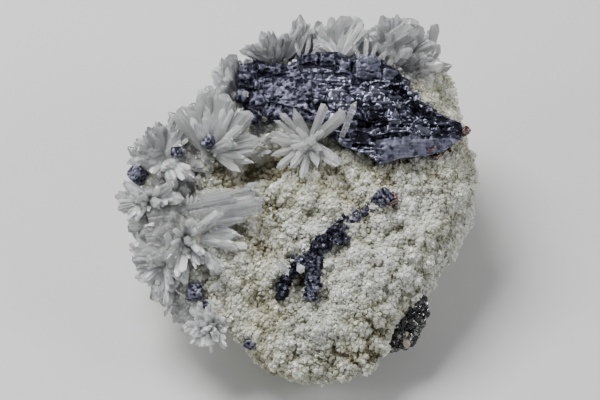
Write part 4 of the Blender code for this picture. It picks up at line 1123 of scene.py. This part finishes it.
# These stand on the vein or on other quartz
SMALL_ON_TOP = [
    ((0.6, -20.6), (0.4, 0.2, 1.6), 3.2, 0.9), ((-2.2, -20.2), (-3.9, 0.8, 0.8), 1.6, 0.8),
    ((-2.2, -21.2), (-3.4, 0.2, 0.4), 1.3, 0.8), ((-36.6, -1.8), (-0.6, 2.4, 1.4), 0.8, 1.0),
    ((-35.2, -1.6), (-0.3, 2.6, 1.4), 0.75, 1.0), ((-33.0, -1.2), (0.1, 2.2, 1.2), 0.75, 1.0),
    ((-31.9, -1.0), (0.2, 2.4, 1.4), 0.85, 1.0), ((-30.6, -0.9), (0.5, 2.0, 1.2), 0.7, 1.0),
]
# The beige chip beside the dark mass
CHIP = [((32.4, -39.6), (0.5, -5.0, 0.4), 2.4, 0.7)]


def make_small(name, table, ground, material):
    """Single crystals, each grown from the surface under it."""
    dice = random.Random(name)
    crystals = Crystals()
    for (u, v), (du, dv, dw), width, flat in table:
        depth = ground.depth(u, v) - 0.5
        crystals.prism(at(u, v, depth), at(u + du, v + dv, depth + dw), width, flat, dice, tone=0.6)
    return crystals.piece(name, material)


ROSETTE_ROOT, ROSETTE_RADIUS, ROSETTE_COUNT = (-26.2, -37.4), 8.4, 130


def make_rosette(ground, material):
    """A ball of short crystals."""
    dice = random.Random(5)
    u, v = ROSETTE_ROOT
    depth = ground.depth(u, v, layer=0)
    crystals = Crystals()
    for _ in range(ROSETTE_COUNT):
        climb = math.asin(dice.uniform(0.02, 1.0))
        angle = dice.uniform(0, math.tau)
        reach = ROSETTE_RADIUS * dice.uniform(0.5, 1.04)
        out, rise = reach * math.cos(climb), reach * math.sin(climb)
        right, up = out * math.cos(angle), out * math.sin(angle)
        tip = at(u + right, v + up, depth + 1 + 0.8 * rise)
        base = at(u + 0.1 * right, v + 0.1 * up, depth - 1)
        crystals.prism(base, tip, dice.uniform(0.9, 2.8), dice.uniform(0.25, 0.8), dice,
                       tone=dice.uniform(0.3, 0.8))
    return crystals.piece("rosette_crystals", material)


# Where dark granules trail off from the vein: places (u, v), and how many near each
TRAIL = [
    ((11.2, -8.2), 6), ((13.6, -8.0), 8), ((12.6, -5.7), 4), ((14.8, -5.8), 3), ((17.1, -5.0), 7),
    ((18.3, -4.0), 5), ((20.2, -2.7), 8), ((21.6, -1.6), 5), ((22.6, -0.4), 7), ((24.4, 0.2), 5),
    ((-3.0, -18.2), 4), ((3.4, -20.5), 3), ((6.6, -25.0), 3),
]
# Crumbs of sphalerite by the galena's right end, and at the upper end of the trail
RED_TRAIL = [((50.4, 19.8), 6), ((41.0, 13.9), 7), ((45.5, 15.6), 7)]
ORANGE_TRAIL = [((27.7, 0.6), 9), ((28.4, -0.6), 5)]


def make_granules(name, trail, ground, material, sizes, spread, seed):
    """Small cubes strewn near a trail of places."""
    dice = random.Random(seed)
    vertices, faces = [], []
    for (u, v), count in trail:
        for _ in range(count):
            a, b = u + dice.gauss(0, spread), v + dice.gauss(0, spread)
            centre = at(a, b, ground.depth(a, b) + 0.55)
            corners, sides = cube(dice)
            size = dice.uniform(*sizes)
            turned = Matrix.Identity(3)
            for axis in "XYZ":
                turned = turned @ Matrix.Rotation(dice.uniform(0, 3), 3, axis)
            first = len(vertices)
            vertices += [centre + turned @ Vector(corner) * size for corner in corners]
            faces += [tuple(first + i for i in side) for side in sides]
    made = new_object(name, vertices, faces, material)
    store(made.data, "relief", [dice.uniform(0.2, 0.9) for _ in vertices])
    store(made.data, "dull", [DULL] * len(vertices))
    return made


def make_vein(material):
    """The vein, its blocks remeshed and etched, a little brighter on its right limb."""
    vein = make_bead("galena_vein", material, rounding=4, swell=1.5, shift=-0.35)
    places = face_places(points_of(vein.data))
    limb = smoothstep(-places[:, 1], 15, 19) * smoothstep(places[:, 0], 0, 2)
    for relief, share in zip(vein.data.attributes["relief"].data, 0.62 + 0.5 * limb):
        relief.value *= share
    return vein


def cubes_over(name, body, spacing, sizes, seed, material):
    """Small cubes all over a piece."""
    store(body.data, "everywhere", np.ones(len(body.data.vertices)))
    return scattered(
        name, body.data, Shapes=cube_shapes, Where="everywhere", Spacing=spacing,
        Smallest=sizes[0], Largest=sizes[1], Tilt=0.9, Seed=seed, Finish=material,
    )


def add_etched(prefix, material):
    """The small crystals whose nodes begin alike, each with etched faces."""
    for node in sorted(nodes):
        if node.startswith(prefix):
            add_piece(make_bead(node, material), [node])


# Build everything

druse_material = druse_finish()
rock_material = rock_finish()
galena_material = galena_finish()
vein_material = galena_finish("galena_vein", bright=0.72)
# Quartz clouded through, as at the heart of a spray
milky_material = quartz_finish("quartz_milky", 0.25, (0.08, 0.3), [
    (0.66, 0.675, 0.69), (0.88, 0.89, 0.90), (0.99, 0.99, 0.99),
], inner_light=(0.35, 1.2))
# Quartz between milky and clear, as in the brightest sprays
cloudy_material = quartz_finish("quartz_cloudy", 0.66, (0.03, 0.18), [
    (0.84, 0.85, 0.86), (0.96, 0.96, 0.965), (1.0, 1.0, 1.0),
], inner_light=(0.2, 1.0))
# Quartz that light passes through, with faint veils
clear_material = quartz_finish("quartz_clear", 0.78, (0.02, 0.16), [
    (0.80, 0.81, 0.82), (0.93, 0.935, 0.94), (0.99, 0.99, 0.99),
])
black_material = sphalerite_finish("sphalerite_black", [
    (0.35, (0.010, 0.010, 0.013)), (0.6, (0.026, 0.024, 0.028)), (0.8, (0.065, 0.048, 0.042)),
])
red_material = sphalerite_finish("sphalerite_red", [
    (0.35, (0.025, 0.005, 0.003)), (0.5, (0.10, 0.020, 0.009)), (0.68, (0.22, 0.055, 0.018)),
], transmission=0.25)
orange_material = sphalerite_finish("sphalerite_orange", [
    (0.35, (0.06, 0.012, 0.004)), (0.5, (0.34, 0.12, 0.02)), (0.68, (0.75, 0.40, 0.06)),
], transmission=0.25)

grain_shapes = shape_set("grain", 6, grain)
quartz_shapes = shape_set("quartz_grain", 7, quartz_grain)
cube_shapes = shape_set("cube", 5, cube)

rock = make_rock(rock_material)
add_piece(rock, ["matrix"])
for patch, seed in [("druse_upper_left", 11), ("druse_upper_right", 12), ("druse_lower", 13)]:
    grains = scattered(
        patch, rock.data, Shapes=grain_shapes, Where=patch, Spacing=0.72,
        Smallest=0.65, Largest=2.1, Tilt=0.95, Seed=seed, Finish=druse_material,
    )
    add_piece(grains)

galena = make_galena(galena_material)
add_piece(galena, ["galena_crystal"])
ground = Ground(rock, galena)

add_etched("galena_bead", vein_material)
vein = make_vein(vein_material)
vein_cubes = cubes_over("galena_vein_cubes", vein, 0.6, (0.4, 1.0), 3, vein_material)
add_piece(vein, ["galena_vein"])
add_piece(vein_cubes)
granules = make_granules("galena_granules", TRAIL, ground, vein_material, (0.5, 1.1), 0.75, 8)
add_piece(granules)
crumb_kinds = {
    "sphalerite_crumbs": (RED_TRAIL, red_material, 4),
    "sphalerite_bright_crumbs": (ORANGE_TRAIL, orange_material, 5),
}
for name, (trail, material, seed) in crumb_kinds.items():
    crumbs = make_granules(name, trail, ground, material, (0.5, 1.2), 0.6, seed)
    add_piece(crumbs)

sprays = []
rock_ground = Ground(rock)
for node, (root, spikes) in SPRAYS.items():
    crystals, core = make_spray(node, root, spikes, rock_ground)
    add_piece(crystals, [node])
    add_piece(core)
    sprays.append(crystals)
add_piece(make_rosette(ground, milky_material), ["quartz_rosette"])
for name, (line, count, lengths, widths) in FRINGES.items():
    fringe = make_fringe(name, line, count, lengths, widths, ground, clear_material)
    add_piece(fringe)
small_kinds = {
    "small_clear_quartz": (SMALL_CLEAR, ground, clear_material),
    "small_milky_quartz": (SMALL_MILKY, ground, milky_material),
    "small_quartz_on_top": (SMALL_ON_TOP, Ground(rock, vein, *sprays), milky_material),
}
for name, (table, body, material) in small_kinds.items():
    add_piece(make_small(name, table, body, material))
bank = scattered(
    "quartz_bank", rock.data, Shapes=quartz_shapes, Where="quartz_bank", Spacing=1.8,
    Smallest=1.6, Largest=4.2, Tilt=0.9, Seed=21, Finish=clear_material,
)
add_piece(bank)

mass = make_bead("sphalerite_mass", black_material)
specks = cubes_over("sphalerite_specks", mass, 0.62, (0.4, 1.15), 9, black_material)
add_piece(mass, ["sphalerite_mass"])
add_piece(specks)
add_piece(make_small("pale_chip", CHIP, Ground(rock, mass), chip_finish()))
add_etched("sphalerite_grain", red_material)

for node, solid in nodes.items():
    if node.startswith("quartz_prism"):
        coat(solid.data, clear_material)

for group in (grain_shapes, quartz_shapes, cube_shapes):
    for template in list(group.objects):
        bpy.data.objects.remove(template)
    bpy.data.collections.remove(group)


# Floor, light and camera

FLOOR_HALF = 3.0
floor = new_object("floor", [
    (-FLOOR_HALF, -FLOOR_HALF, 0), (FLOOR_HALF, -FLOOR_HALF, 0),
    (FLOOR_HALF, FLOOR_HALF, 0), (-FLOOR_HALF, FLOOR_HALF, 0),
], [(0, 1, 2, 3)], floor_finish())

world = bpy.data.worlds.new("studio")
world.use_nodes = True
sky = world.node_tree.nodes["Background"]
sky.inputs["Color"].default_value = (0.9, 0.95, 1.0, 1.0)
sky.inputs["Strength"].default_value = 0.19
bpy.context.scene.world = world


LIT_POINT = Vector((0, 0, 0.03))


def soft_light(name, place, size, power):
    """A square softbox at a place, aimed at the specimen, all in metres."""
    data = bpy.data.lights.new(name, "AREA")
    data.size = size
    data.energy = power
    light = linked(name, data)
    light.location = place
    light.rotation_euler = (LIT_POINT - Vector(place)).to_track_quat("-Z", "Y").to_euler()


soft_light("key", (-0.35, 0.38, 0.9), 0.5, 13.5)
soft_light("left", (-0.85, -0.2, 0.5), 0.35, 3)
soft_light("right", (0.8, -0.15, 0.6), 0.3, 3.2)

LENS, SENSOR, SEEN_WIDTH = 200.0, 36.0, 180.0    # the width seen at the face's middle
FRAME_CENTRE = (0.6, 0.0)
camera_data = bpy.data.cameras.new("camera")
camera_data.lens = LENS
camera_data.sensor_width = SENSOR
camera_data.clip_end = 10.0
camera = linked("camera", camera_data)
eye = at(*FRAME_CENTRE, SEEN_WIDTH * LENS / SENSOR)
turn = Matrix((RIGHT, UP, TOWARDS)).transposed().to_4x4()
camera.matrix_world = Matrix.Translation(eye) @ turn
bpy.context.scene.camera = camera
